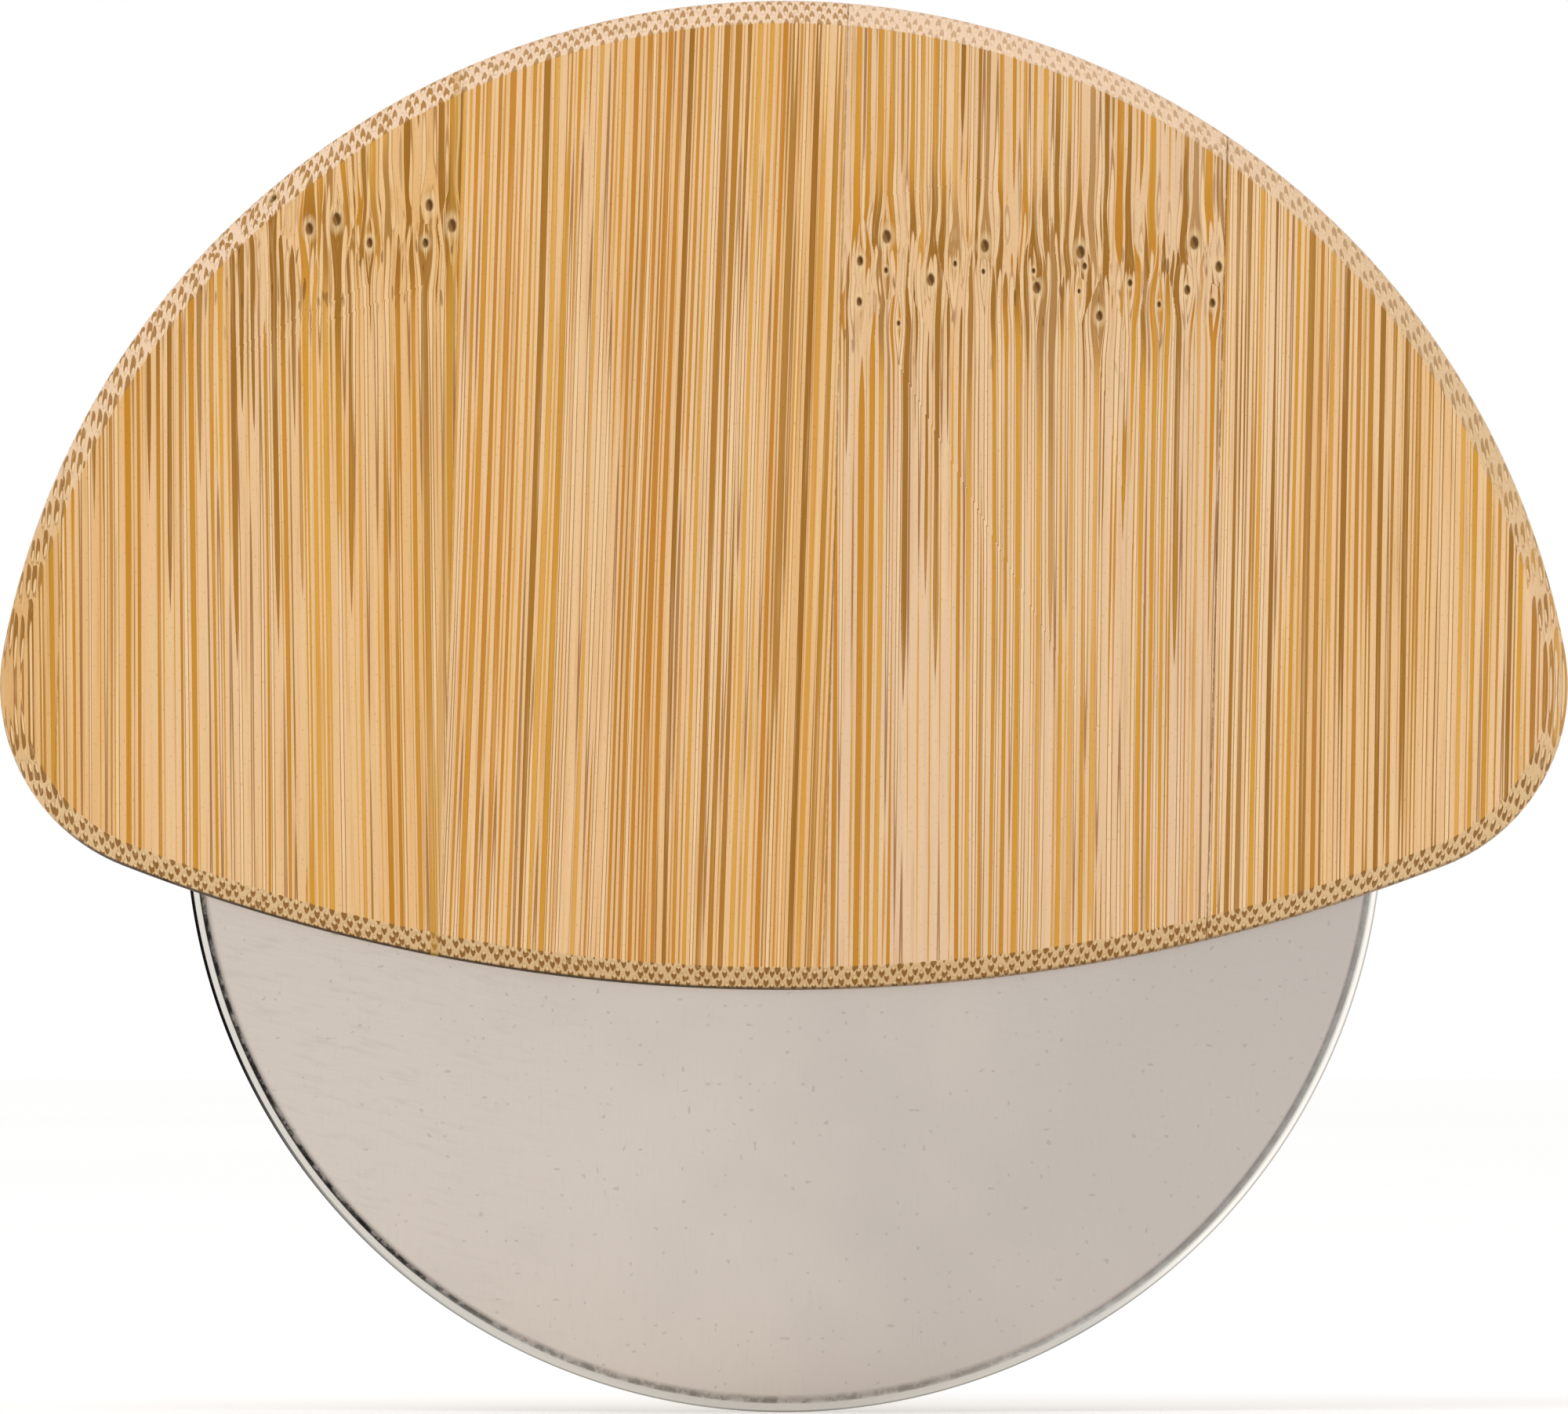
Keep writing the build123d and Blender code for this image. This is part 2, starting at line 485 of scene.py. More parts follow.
@dataclass(frozen=True)
class BambooFinish:
    """Bamboo cut from one strip: fibre bundles that run up the strip in a pale ground.

    The pattern is solid, so a flat face shows streaks and an end shows dots. Lengths are in millimetres.

    Attributes:
        name: The material's name.
        face_y: Where the strip's flat face lies.
        inward: 1 if the wood is behind that face, -1 if it is in front.
        seed: Where in the noise the strip is cut from.
        glue: Each glue joint's x at the axle's height and how dark it is.
        edge_streak: Where a golden streak beside a joint starts and ends.
        dense: The middle and spread of each band where the streaks run richer.
        pitch: From one bundle to the next along a layer.
        layer: Half of the way from one layer of bundles to the next.
        offset: How deep in its layer the flat face is cut.
        scatter: How unevenly the bundles stand.
        lean: How far the fibres lean to the right, in degrees.
        warmth, dark, seam, faint: How warm the ground is, how brown the streaks are, how dark the painted shade on
        the downward-facing edge under the slope is and how pale the dots of the upper slope are, from 0 to 1.
        uneven: How much the streaks vary along their length.
        wander, waver: How far the fibres stray across and into the wood, broadly and finely.
        broad, close, threads, specks, breaks: The noise behind each kind of unevenness.
        lit_turn, lit_reach: How far upwards a slope faces, and where along x, for painted light: end-grain slopes
        that face up, less so on the right, take the lit end colours and the others the shaded ones.
        under_shade_top, under_shade_foot: How deep under the face the painted shade on the downward-facing edge
            starts and stops.
        cap_share to pit_share: How strongly each mark covers what is under it.
    """

    name: str
    face_y: float
    inward: int
    seed: float
    glue: tuple[tuple[float, float], ...] = ()
    edge_streak: Optional[tuple[float, float]] = None
    dense: tuple[tuple[float, float], ...] = ()
    pitch: float = 0.8
    layer: float = 0.6
    offset: float = 0.2
    scatter: float = 0.35
    lean: float = 1.5
    warmth: float = 0.5
    dark: float = 0.0
    under_shade: float = 0.0
    faint: float = 0.0
    uneven: float = 0.5
    roughness: float = 0.56
    shine: float = 0.16
    relief: float = 0.02
    wander: tuple[float, float] = (0.9, 1.2)
    waver: tuple[float, float] = (0.25, 0.9)
    broad: Grit = Grit((0.11, 0.2, 0.014))
    close: Grit = Grit((0.6, 0.4, 0.016))
    threads: Grit = Grit((4.5, 3.0, 0.06), 3.0, 0.6)
    specks: Grit = Grit((8.0, 8.0, 4.0))
    breaks: Grit = Grit((0.7, 1.0, 1.0), 3.0, 0.7)
    lit_turn: tuple[float, float] = (-0.1, 0.75)
    lit_reach: tuple[float, float] = (15.0, 48.0)
    under_shade_top: tuple[float, float] = (1.5, 1.7)
    under_shade_foot: tuple[float, float] = (2.7, 2.4)
    glue_width: tuple[float, float] = (0.09, 0.03)
    cap_share: float = 0.97
    vessel_share: float = 0.6
    strand_share: float = 0.85
    rim_share: float = 0.8
    thread_dark_share: float = 0.35
    thread_pale_share: float = 0.25
    speck_share: float = 0.28
    dash_share: float = 0.8
    halo_share: float = 0.45
    pit_share: float = 0.92
    knuckle: Optional[Knuckle] = None
    bundle: Bundle = Bundle()
    ground: str = "E4C098"
    ground_warm: str = "DFB37B"
    ground_dense: str = "D9A765"
    streak: str = "B97A14"
    streak_pale: str = "D1962C"
    streak_brown: str = "8D5C0C"
    line: str = "8C561A"
    vessel: str = "EDCB9B"
    thread_dark: str = "AC7A3A"
    thread_pale: str = "ECCB9C"
    speck: str = "7A5426"
    # Colour of the painted shade on the downward-facing edge under the slope.
    under_shade_colour: str = "33230F"
    glue_line: str = "6A4419"
    edge_gold: str = "BE8D35"
    # Painted light: the end grain's colours come as lit copies for upward slopes and shaded copies for the rest.
    end_ground_lit: str = "ECCDB0"
    end_ground_shaded: str = "D9B788"
    end_fibre: str = "AA7A3C"
    end_fibre_shaded: str = "8A5C1E"
    end_vessel_lit: str = "F2D8B0"
    end_vessel_shaded: str = "E6C590"
    dash: str = "764B1C"
    halo: str = "E6C593"
    # The pit's dark colour, and the lit colour painted on its walls that face up and to the right.
    pit: str = "5E3D16"
    pit_lit_wall: str = "9C7038"

    def material(self) -> bpy.types.Material:
        """Makes the strip's material.

        Returns:
            The finished material.
        """
        shade = Shade(self.name)
        spot = Spot(shade)
        across = spot.x - spot.run * math.tan(math.radians(self.lean))
        depth = (spot.y - self.face_y) * self.inward + self.offset
        sidewards = (self.seed, 0.0, 0.0)
        sway, dip, tone = shade.noises((across, depth, spot.run), self.broad, sidewards)
        fine = shade.noises((across, depth, spot.run), self.close, sidewards)
        across = across + (sway - 0.5) * self.wander[0] + (fine[0] - 0.5) * spot.flat * self.waver[0]
        depth = depth + (dip - 0.5) * self.wander[1] + (fine[1] - 0.5) * spot.flat * self.waver[1]
        knot: Number = 0.0
        rise: Number = 0.0
        aged: Number = self.dark
        if self.knuckle:
            middle, spread = self.knuckle.z, self.knuckle.spread
            knot = spot.z.bell(middle, spread)
            rise = (spot.z - middle) / spread
            aged = spot.z.bell(middle - 1.0, spread * 2.0) * self.knuckle.age + self.dark
            across, depth = self._through_knuckle(shade, across, depth, spot.z, knot)

        fade: Number = spot.facing[2].ramp(-0.2, 0.2, 0.0, self.faint) if self.faint else 0.0
        lull = fine[2].ramp(0.52, 0.66) * spot.flat * (1.0 - knot) * self.uneven
        thin = spot.end * (fade * 0.3 - 0.05) + lull * 0.3 - spot.flat * 0.03
        cap, rim, vessel, strand, spark, brown = self._bundles(shade, across, depth, rise, spot.end, thin)
        thread = shade.noise((across, depth, spot.run), self.threads, (0.0, 0.0, self.seed))
        speck = shade.noise(spot.place, self.specks)
        rich: Number = sum((spot.straight.bell(*streaks) for streaks in self.dense), 0.0)
        # Painted light: how far an end-grain slope takes the lit colours, more where it faces up and less on the
        # right.
        upper = spot.facing[2].ramp(*self.lit_turn) * spot.x.ramp(*self.lit_reach, 1.0, 0.3)

        warm = (tone * 1.8 - 0.9 + self.warmth + (thread - 0.5) * 1.2).held()
        end_base = shade.mix(self.end_ground_shaded, self.end_ground_lit, upper)
        end_fibre = shade.mix(shade.mix(self.end_fibre_shaded, self.end_fibre, upper), end_base, fade * 0.8)
        end_pale = shade.mix(self.end_vessel_shaded, self.end_vessel_lit, upper)
        base = shade.mix(shade.mix(self.ground, self.ground_warm, warm), end_base, spot.end)
        base = shade.mix(base, self.ground_dense, (rich + knot * 0.35) * spot.flat * 0.5)
        gilt = spark * 1.2 - 0.2 + rich * 0.6 + knot * 0.5
        browned = (brown + aged + knot * 0.25 + rich * 0.15).ramp(0.8, 1.05) * 0.85
        tint = shade.mix(shade.mix(self.streak_pale, self.streak, gilt), self.streak_brown, browned)
        tint = shade.mix(tint, end_fibre, spot.end)
        weight = self.cap_share - spark.ramp(0.3, 0.0) * spot.flat * (self.uneven * 0.35)

        skin = base
        for paint, share in (
            (shade.mix(self.vessel, end_pale, spot.end), vessel * self.vessel_share),
            (tint, cap * weight),
            (tint, strand * self.strand_share),
            (shade.mix(self.line, end_fibre, spot.end), rim * self.rim_share),
            (self.thread_dark, (thread - 0.5).ramp(0.05, 0.2) * self.thread_dark_share),
            (self.thread_pale, (0.5 - thread).ramp(0.04, 0.2) * self.thread_pale_share),
            (self.speck, (speck - 0.5).ramp(0.1, 0.28) * self.speck_share),
        ):
            skin = shade.mix(skin, paint, share)
        skin = self._mark_joints(shade, skin, spot, thread)
        if self.knuckle:
            skin = self._mark_knuckle(shade, skin, spot)
        height = cap * -0.35 + rim * -0.35 + thread * 0.4 + speck * 0.2
        return shade.finish(
            {
                "Base Color": skin,
                "Roughness": self.roughness - cap * 0.12,
                "Specular IOR Level": self.shine,
                "Normal": shade.bump(height, self.relief),
            }
        )

    def _through_knuckle(self, shade: Shade, across: Wire, depth: Wire, z: Wire, knot: Wire) -> tuple[Wire, Wire]:
        """Steps the fibres outwards through the knuckle and swerves them round its pits.

        Args:
            shade: The material being made.
            across: How far along the layer, in millimetres.
            depth: How deep under the strip's face, in millimetres.
            z: The height, in millimetres.
            knot: How near the knuckle is, from 0 to 1.

        Returns:
            The new place across and the new depth.
        """
        knuckle = self.knuckle
        sidewards = (self.seed, 0.0, 0.0)
        ragged = shade.noise((across, depth, 0.0), knuckle.ragged, sidewards)
        level = z + (ragged - 0.5) * knuckle.stagger
        climb = level.ramp(knuckle.z - knuckle.length / 2, knuckle.z + knuckle.length / 2)
        wide = shade.noises((across, depth, z), knuckle.ripples, sidewards)
        across = across - shade.attribute("bend") + (wide[0] - 0.5) * knot * knuckle.sideways
        depth = depth + climb * knuckle.step + (wide[1] - 0.5) * knot * knuckle.inwards
        return across, depth

    def _mark_joints(self, shade: Shade, skin: Wire, spot: Spot, thread: Wire) -> Wire:
        """Paints shade on the downward-facing edge, then colours the glue joints and the golden streak beside one.

        Args:
            shade: The material being made.
            skin: The colour so far.
            spot: The point on the strip.
            thread: Fine noise along the fibres.

        Returns:
            The new colour.
        """
        # Painted shade: the downward-facing round under the slope is darkened, fully on the left and half on the
        # right.
        if self.under_shade:
            deep = abs(spot.y - self.face_y)
            under = abs(spot.facing[1]).ramp(0.55, 0.38) * spot.facing[2].ramp(-0.6, -0.85)
            under = under * deep.ramp(*self.under_shade_top) * deep.ramp(*self.under_shade_foot)
            skin = shade.mix(skin, self.under_shade_colour, under * spot.x.ramp(12.0, -8.0, self.under_shade * 0.5, self.under_shade))
        broken = shade.noise((spot.run, 0.0, 0.0), self.breaks, (0.0, self.seed, 0.0)).ramp(0.3, 0.55)
        for joint, strength in self.glue:
            line = abs(spot.straight - joint).ramp(*self.glue_width)
            skin = shade.mix(skin, self.glue_line, line * broken * strength)
        if self.edge_streak:
            first, last = self.edge_streak
            half, blur = (last - first) / 2, 0.05
            band = abs(spot.straight - (first + last) / 2).ramp(half + blur, half - blur)
            skin = shade.mix(skin, self.edge_gold, band * thread)
        return skin

    def _mark_knuckle(self, shade: Shade, skin: Wire, spot: Spot) -> Wire:
        """Colours the pits with painted light and shade, their pale rims and the short dark dashes near the knuckle.

        Args:
            shade: The material being made.
            skin: The colour so far.
            spot: The point on the strip.

        Returns:
            The new colour.
        """
        near = spot.z.bell(self.knuckle.z - 3.0, 4.0)
        dash = shade.noise(spot.place, self.knuckle.dashes, (self.seed, 0.0, 0.0))
        skin = shade.mix(skin, self.dash, dash.ramp(0.66, 0.72) * near * self.dash_share)
        skin = shade.mix(skin, self.halo, shade.attribute("halo") * self.halo_share)
        # Painted light: pit walls facing up and to the right take the lit colour; the rest keeps the dark pit colour
        # as shade.
        wall = (spot.facing[0] * 0.8 + spot.facing[2] * 0.6).ramp(-0.1, 0.35)
        inside = shade.mix(self.pit, self.pit_lit_wall, wall)
        return shade.mix(skin, inside, shade.attribute("pit") * self.pit_share)

    def _bundles(
        self, shade: Shade, across: Wire, depth: Wire, rise: Number, end: Wire, thin: Number
    ) -> tuple[Wire, Wire, Wire, Wire, Wire, Wire]:
        """Fibre bundles in staggered layers.

        Args:
            shade: The material being made.
            across: How far along the layer, in millimetres.
            depth: How deep under the strip's face, in millimetres.
            rise: The height above the knuckle in its own spreads. Some bundles end there, others swell.
            end: How far the surface cuts across the fibres, from 0 to 1.
            thin: How much slimmer the caps are than usual, as a share of their size.

        Returns:
            Each bundle's inner cap, its vessels' rim, these vessels, its small outer strand and two random tones.
        """
        u = across / self.pitch
        v = depth / (2 * self.layer)
        first = u + v + self.seed
        second = u - v + self.seed
        settings = {"voronoi_dimensions": "2D", "feature": "F1"}
        values = {"Vector": shade.point(first, second), "Scale": 1.0, "Randomness": self.scatter}
        middle = shade.node("ShaderNodeTexVoronoi", settings, values, "Position")
        random = shade.node("ShaderNodeTexVoronoi", settings, values, "Color")
        first_middle, second_middle, _ = shade.split(middle)
        size, spark, brown = shade.split(random, "ShaderNodeSeparateColor")
        knot: Number = 0.0
        gone: Number = 0.0
        if self.knuckle:
            knot = rise.bell(0.0, 1.0) * (1.0 - end)
            last, blur = 1.0 - self.knuckle.ending, 0.04
            gone = spark.ramp(last - blur, last + blur) * (rise + size * 1.8 - 0.9).bell(0.0, 0.75) * 1.5
            tail = brown.ramp(0.7, 0.78) * (rise * -1.0 - size * 3.0).ramp(1.4, 3.4)
            gone = (gone + tail * 1.2) * (1.0 - end)
        girth = size * 0.3 + 0.85 + knot * 0.4
        side_off = (first - first_middle + (second - second_middle)) * (self.pitch / 2) / girth
        deep_off = (first - first_middle - (second - second_middle)) * self.layer / girth
        pointed = side_off / deep_off.ramp(-0.1, 0.6, 1.0, 0.45)
        reach = self._oval(pointed, deep_off, self.bundle.cap) + gone + thin
        rim = self._oval(side_off, deep_off, self.bundle.rim).ramp(1.06, 0.9)
        hollow = self._oval(side_off, deep_off, self.bundle.vessel).ramp(1.1, 0.85)
        strand = self._oval(side_off, deep_off, self.bundle.strand).ramp(1.15, 0.8)
        cap = reach.ramp(1.08, 0.92) * (1.0 - hollow)
        border = cap * reach.ramp(0.7, 0.95) * brown * 0.7
        quiet = 1.0 - knot * 0.6 - end * 0.6
        rim = (rim * (1.0 - hollow) * (1.0 - cap) + border) * quiet
        return cap, rim, hollow * (1.0 - knot * 0.6), strand * quiet * (1.0 - end), spark, brown

    @staticmethod
    def _oval(across: Wire, deep: Wire, sizes: tuple[float, float, float]) -> Wire:
        """How far out a point lies, where 1 is an oval's border.

        Args:
            across: Its place along the layer from the bundle's middle.
            deep: Its place into the wall from there.
            sizes: The oval's half width, its half depth and how deep its middle lies.

        Returns:
            The share of the way to the border.
        """
        wide, high, centre = sizes
        side = across / wide
        away = (deep - centre) / high
        return (side * side + away * away).root()


@dataclass(frozen=True)
class BladeFinish:
    """Rolled and satin-finished steel with a polished bevel, and painted reflection that makes it lighter on the
    left.
    """

    name: str = "satin_blade_steel"
    radius: float = BLADE_RADIUS
    bevel: float = BLADE_BEVEL
    relief: float = 0.004
    grinding: Grit = Grit((7.0, 2.0, 0.5), 4.0, 0.65)
    clouds: Grit = Grit((0.06, 0.1, 0.06), 3.0, 0.6)
    rolling: Grit = Grit((0.35, 0.1, 1.0), 3.0, 0.6)
    specks: Grit = Grit((2.4, 2.4, 2.4), 0.0)
    blotches: Grit = Grit((1.3, 1.0, 1.3), 4.0, 0.65)
    grain_share: float = 0.25
    ripple_share: float = 0.16
    speck_share: float = 0.3
    dark_rim_share: float = 0.6
    # Painted reflection: the sheet is lighter towards the left and darker towards the right; random clouds mix the
    # same two colours.
    sheet_lit: str = "CCC1B7"
    sheet_shaded: str = "BEB5AE"
    grain: str = "A8A19A"
    ripple: str = "A39A90"
    speck: str = "8B857D"
    polish: str = "D6D2CB"
    # A real dark grinding line at the bevel's start, painted stronger on the left as shade.
    burr_and_shade: str = "75706A"
    # The rim's own darker ground edge, deepened as a painted dark reflection of the bevel's steep end.
    edge: str = "6B655E"

    def material(self) -> bpy.types.Material:
        """Makes the blade's material.

        Returns:
            The finished material.
        """
        shade = Shade(self.name)
        x, y, z = shade.place()
        rise = z - AXLE_Z
        reach = (x * x + rise * rise).root()
        start = self.radius - self.bevel
        polish = reach.ramp(start + 0.3, start + 0.55)
        place = (x, y, rise)
        grain = shade.noise(place, self.grinding)
        cloud = shade.noise(place, self.clouds, (3.0, 0.0, 0.0))
        ripple = shade.noise((x, y, rise * 1.7 + x * 0.4), self.rolling)
        speck = shade.noise(place, self.specks)
        blotch = shade.noise(place, self.blotches).ramp(0.36, 0.6)
        # The dark grinding line at the bevel's start is real; painted shade makes it full strength on the left, and
        # weaker and further out on the right.
        ring = reach - x.ramp(0.0, 25.0, 0.0, 0.12)
        burr_and_shade = ring.ramp(start - 0.1, start + 0.35) * ring.ramp(start + 0.6, start + 0.46)
        burr_and_shade = burr_and_shade * x.ramp(0.0, 25.0, 1.0, 0.4)
        # Painted reflection: lighter on the left, darker on the right, under random clouds.
        skin = shade.mix(self.sheet_lit, self.sheet_shaded, (cloud * 0.8 + x * 0.012).ramp(0.1, 0.75))
        for paint, share in (
            (self.grain, grain.ramp(0.55, 0.8) * self.grain_share),
            (self.ripple, ripple.ramp(0.5, 0.72) * x.ramp(-6.0, -26.0) * self.ripple_share),
            (self.speck, speck.ramp(0.76, 0.82) * self.speck_share),
            (self.polish, polish),
            (self.burr_and_shade, burr_and_shade * (blotch * 0.5 + 0.35)),
            # Dark outer rim: the ground edge's own colour with a painted dark reflection of the bevel's steep end.
            (self.edge, reach.ramp(self.radius - 0.14, self.radius - 0.05) * self.dark_rim_share),
        ):
            skin = shade.mix(skin, paint, share)
        rough = 0.13 + grain * 0.05 + cloud * 0.04 + burr_and_shade * (1.0 - blotch) * 0.35
        height = grain * 0.4 + ripple * x.ramp(-5.0, -30.0, 0.25, 0.7)
        return shade.finish(
            {
                "Base Color": skin,
                "Metallic": 1.0,
                "Roughness": rough * (1.0 - polish) + polish * x.ramp(0.0, 25.0, 0.07, 0.13),
                "Normal": shade.bump(height * (1.0 - polish), self.relief),
            }
        )


@dataclass(frozen=True)
class PinFinish:
    """Turned steel with fine rings round its axis."""

    name: str = "turned_pin_steel"
    steel: str = "B9B7B3"
    ring: str = "918F8B"
    relief: float = 0.004
    turning: Grit = Grit((0.3, 14.0, 0.3), 3.0, 0.6)

    def material(self) -> bpy.types.Material:
        """Makes the pin's material.

        Returns:
            The finished material.
        """
        shade = Shade(self.name)
        rings = shade.noise(shade.place(), self.turning)
        return shade.finish(
            {
                "Base Color": shade.mix(self.steel, self.ring, rings.ramp(0.4, 0.7)),
                "Metallic": 1.0,
                "Roughness": 0.25 + rings * 0.2,
                "Normal": shade.bump(rings, self.relief),
            }
        )


@dataclass(frozen=True)
class NylonFinish:
    """Natural moulded nylon, off-white and slightly waxy."""

    name: str = "natural_nylon"
    pale: str = "EDE9DD"
    cloudy: str = "DCD6C6"
    relief: float = 0.004
    clouds: Grit = Grit((0.4, 0.4, 0.4), 3.0)
    pores: Grit = Grit((8.0, 8.0, 8.0), 2.0)

    def material(self) -> bpy.types.Material:
        """Makes the nylon's material.

        Returns:
            The finished material.
        """
        shade = Shade(self.name)
        place = shade.place()
        cloud = shade.noise(place, self.clouds)
        pores = shade.noise(place, self.pores)
        return shade.finish(
            {
                "Base Color": shade.mix(self.pale, self.cloudy, cloud.ramp(0.35, 0.65)),
                "Roughness": 0.4 + pores * 0.15,
                "Specular IOR Level": 0.5,
                "Normal": shade.bump(pores, self.relief),
            }
        )


def plain_mesh(name: str, shape: bmesh.types.BMesh) -> bpy.types.Mesh:
    """Turns an editable shape into a mesh and frees it.

    Args:
        name: The mesh's name.
        shape: The shape.

    Returns:
        The mesh.
    """
    mesh = bpy.data.meshes.new(name)
    shape.to_mesh(mesh)
    shape.free()
    return mesh


def add_piece(
    mesh: bpy.types.Mesh, name: str, body: Body, slot: Slot, material: bpy.types.Material, nodes: Sequence[str]
) -> None:
    """Puts a finished mesh in the scene in place of its CAD nodes.

    Args:
        mesh: The mesh, in place and in metres.
        name: The piece's name.
        body: The body that it rides on.
        slot: The record's slot for its finish. It is not used.
        material: Its material.
        nodes: The CAD nodes that it stands for.
    """
    mesh.materials.clear()
    mesh.materials.append(material)
    piece = add_object(name, mesh)
    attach(piece, body.value)
    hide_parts(*nodes)
    LOG.info("%s: %d faces, on %s", name, len(mesh.polygons), body.value)


@dataclass(frozen=True)
class Outline:
    """The handle's outline: a top arc, two corner arcs and a bottom arc, each tangent to the next."""

    half_width: float = 50.0
    corner_radius: float = 12.3
    corner_z: float = 46.4
    top_z: float = 90.1
    bottom_z: float = 27.0
    count: int = 440
    least_steps: int = 8

    def _arc_radius(self, rise: float) -> float:
        """Radius of the arc that passes rise beyond the corner centres."""
        wide = self.half_width - self.corner_radius
        return (wide**2 + rise**2 - self.corner_radius**2) / (2 * (rise - self.corner_radius))

    def arcs(self) -> list[tuple[float, float, float, float, float]]:
        """The four arcs, clockwise from the top left as the front shows them.

        Returns:
            For each, its centre's x and z, its radius, and its first and last angle.
        """
        wide = self.half_width - self.corner_radius
        top = self._arc_radius(self.top_z - self.corner_z)
        low = self._arc_radius(self.corner_z - self.bottom_z)
        top_angle = math.atan2(self.corner_z - (self.top_z - top), wide)
        low_angle = math.atan2(self.corner_z - (self.bottom_z + low), wide)
        turn = math.pi
        return [
            (0.0, self.top_z - top, top, turn - top_angle, top_angle),
            (wide, self.corner_z, self.corner_radius, top_angle, low_angle),
            (0.0, self.bottom_z + low, low, low_angle, -turn - low_angle),
            (-wide, self.corner_z, self.corner_radius, -turn - low_angle, -turn - top_angle),
        ]

    def ring(self, inset: float = 0.0) -> np.ndarray:
        """Points round the outline.

        Args:
            inset: How far inside the outline they lie.

        Returns:
            One row of x and z for each point.
        """
        arcs = self.arcs()
        whole = sum(radius * abs(last - first) for _, _, radius, first, last in arcs)
        points = []
        for x, z, radius, first, last in arcs:
            steps = max(self.least_steps, round(self.count * radius * abs(last - first) / whole))
            for k in range(steps):
                angle = first + (last - first) * k / steps
                points.append((x + (radius - inset) * math.cos(angle), z + (radius - inset) * math.sin(angle)))
        return np.array(points)


@dataclass(frozen=True)
class EdgeProfile:
    """Section of an outer ply's edge: a slope, softened at the face and rounded into the side."""

    width: float = 1.4
    depth: float = 1.9
    face_round: float = 0.25
    side_round: float = 1.5
    thickness: float = 6.4
    face_steps: int = 4
    side_steps: int = 6

    def points(self) -> list[tuple[float, float]]:
        """The section from the flat face to the glued face.

        Returns:
            For each point, how far inside the outline and how deep under the face it lies.
        """
        slope = math.atan2(self.depth, self.width)
        rest = math.pi / 2 - slope
        face, side = self.face_round, self.side_round
        start = self.width + face * math.tan(slope / 2)
        end = self.depth + side * math.tan(rest / 2)
        points = []
        for angle in (slope * k / self.face_steps for k in range(self.face_steps + 1)):
            points.append((start - face * math.sin(angle), face * (1 - math.cos(angle))))
        for angle in (slope + rest * k / self.side_steps for k in range(self.side_steps + 1)):
            points.append((side * (1 - math.sin(angle)), end - side * math.cos(angle)))
        return [*points, (0.0, self.thickness - GLUE_GROOVE), (GLUE_GROOVE, self.thickness)]


@dataclass(frozen=True)
class Pit:
    """A bud pit: its place, its size against the usual one and how far below the flat face it lies."""

    x: float
    z: float
    size: float = 1.0
    sunk: float = 0.0


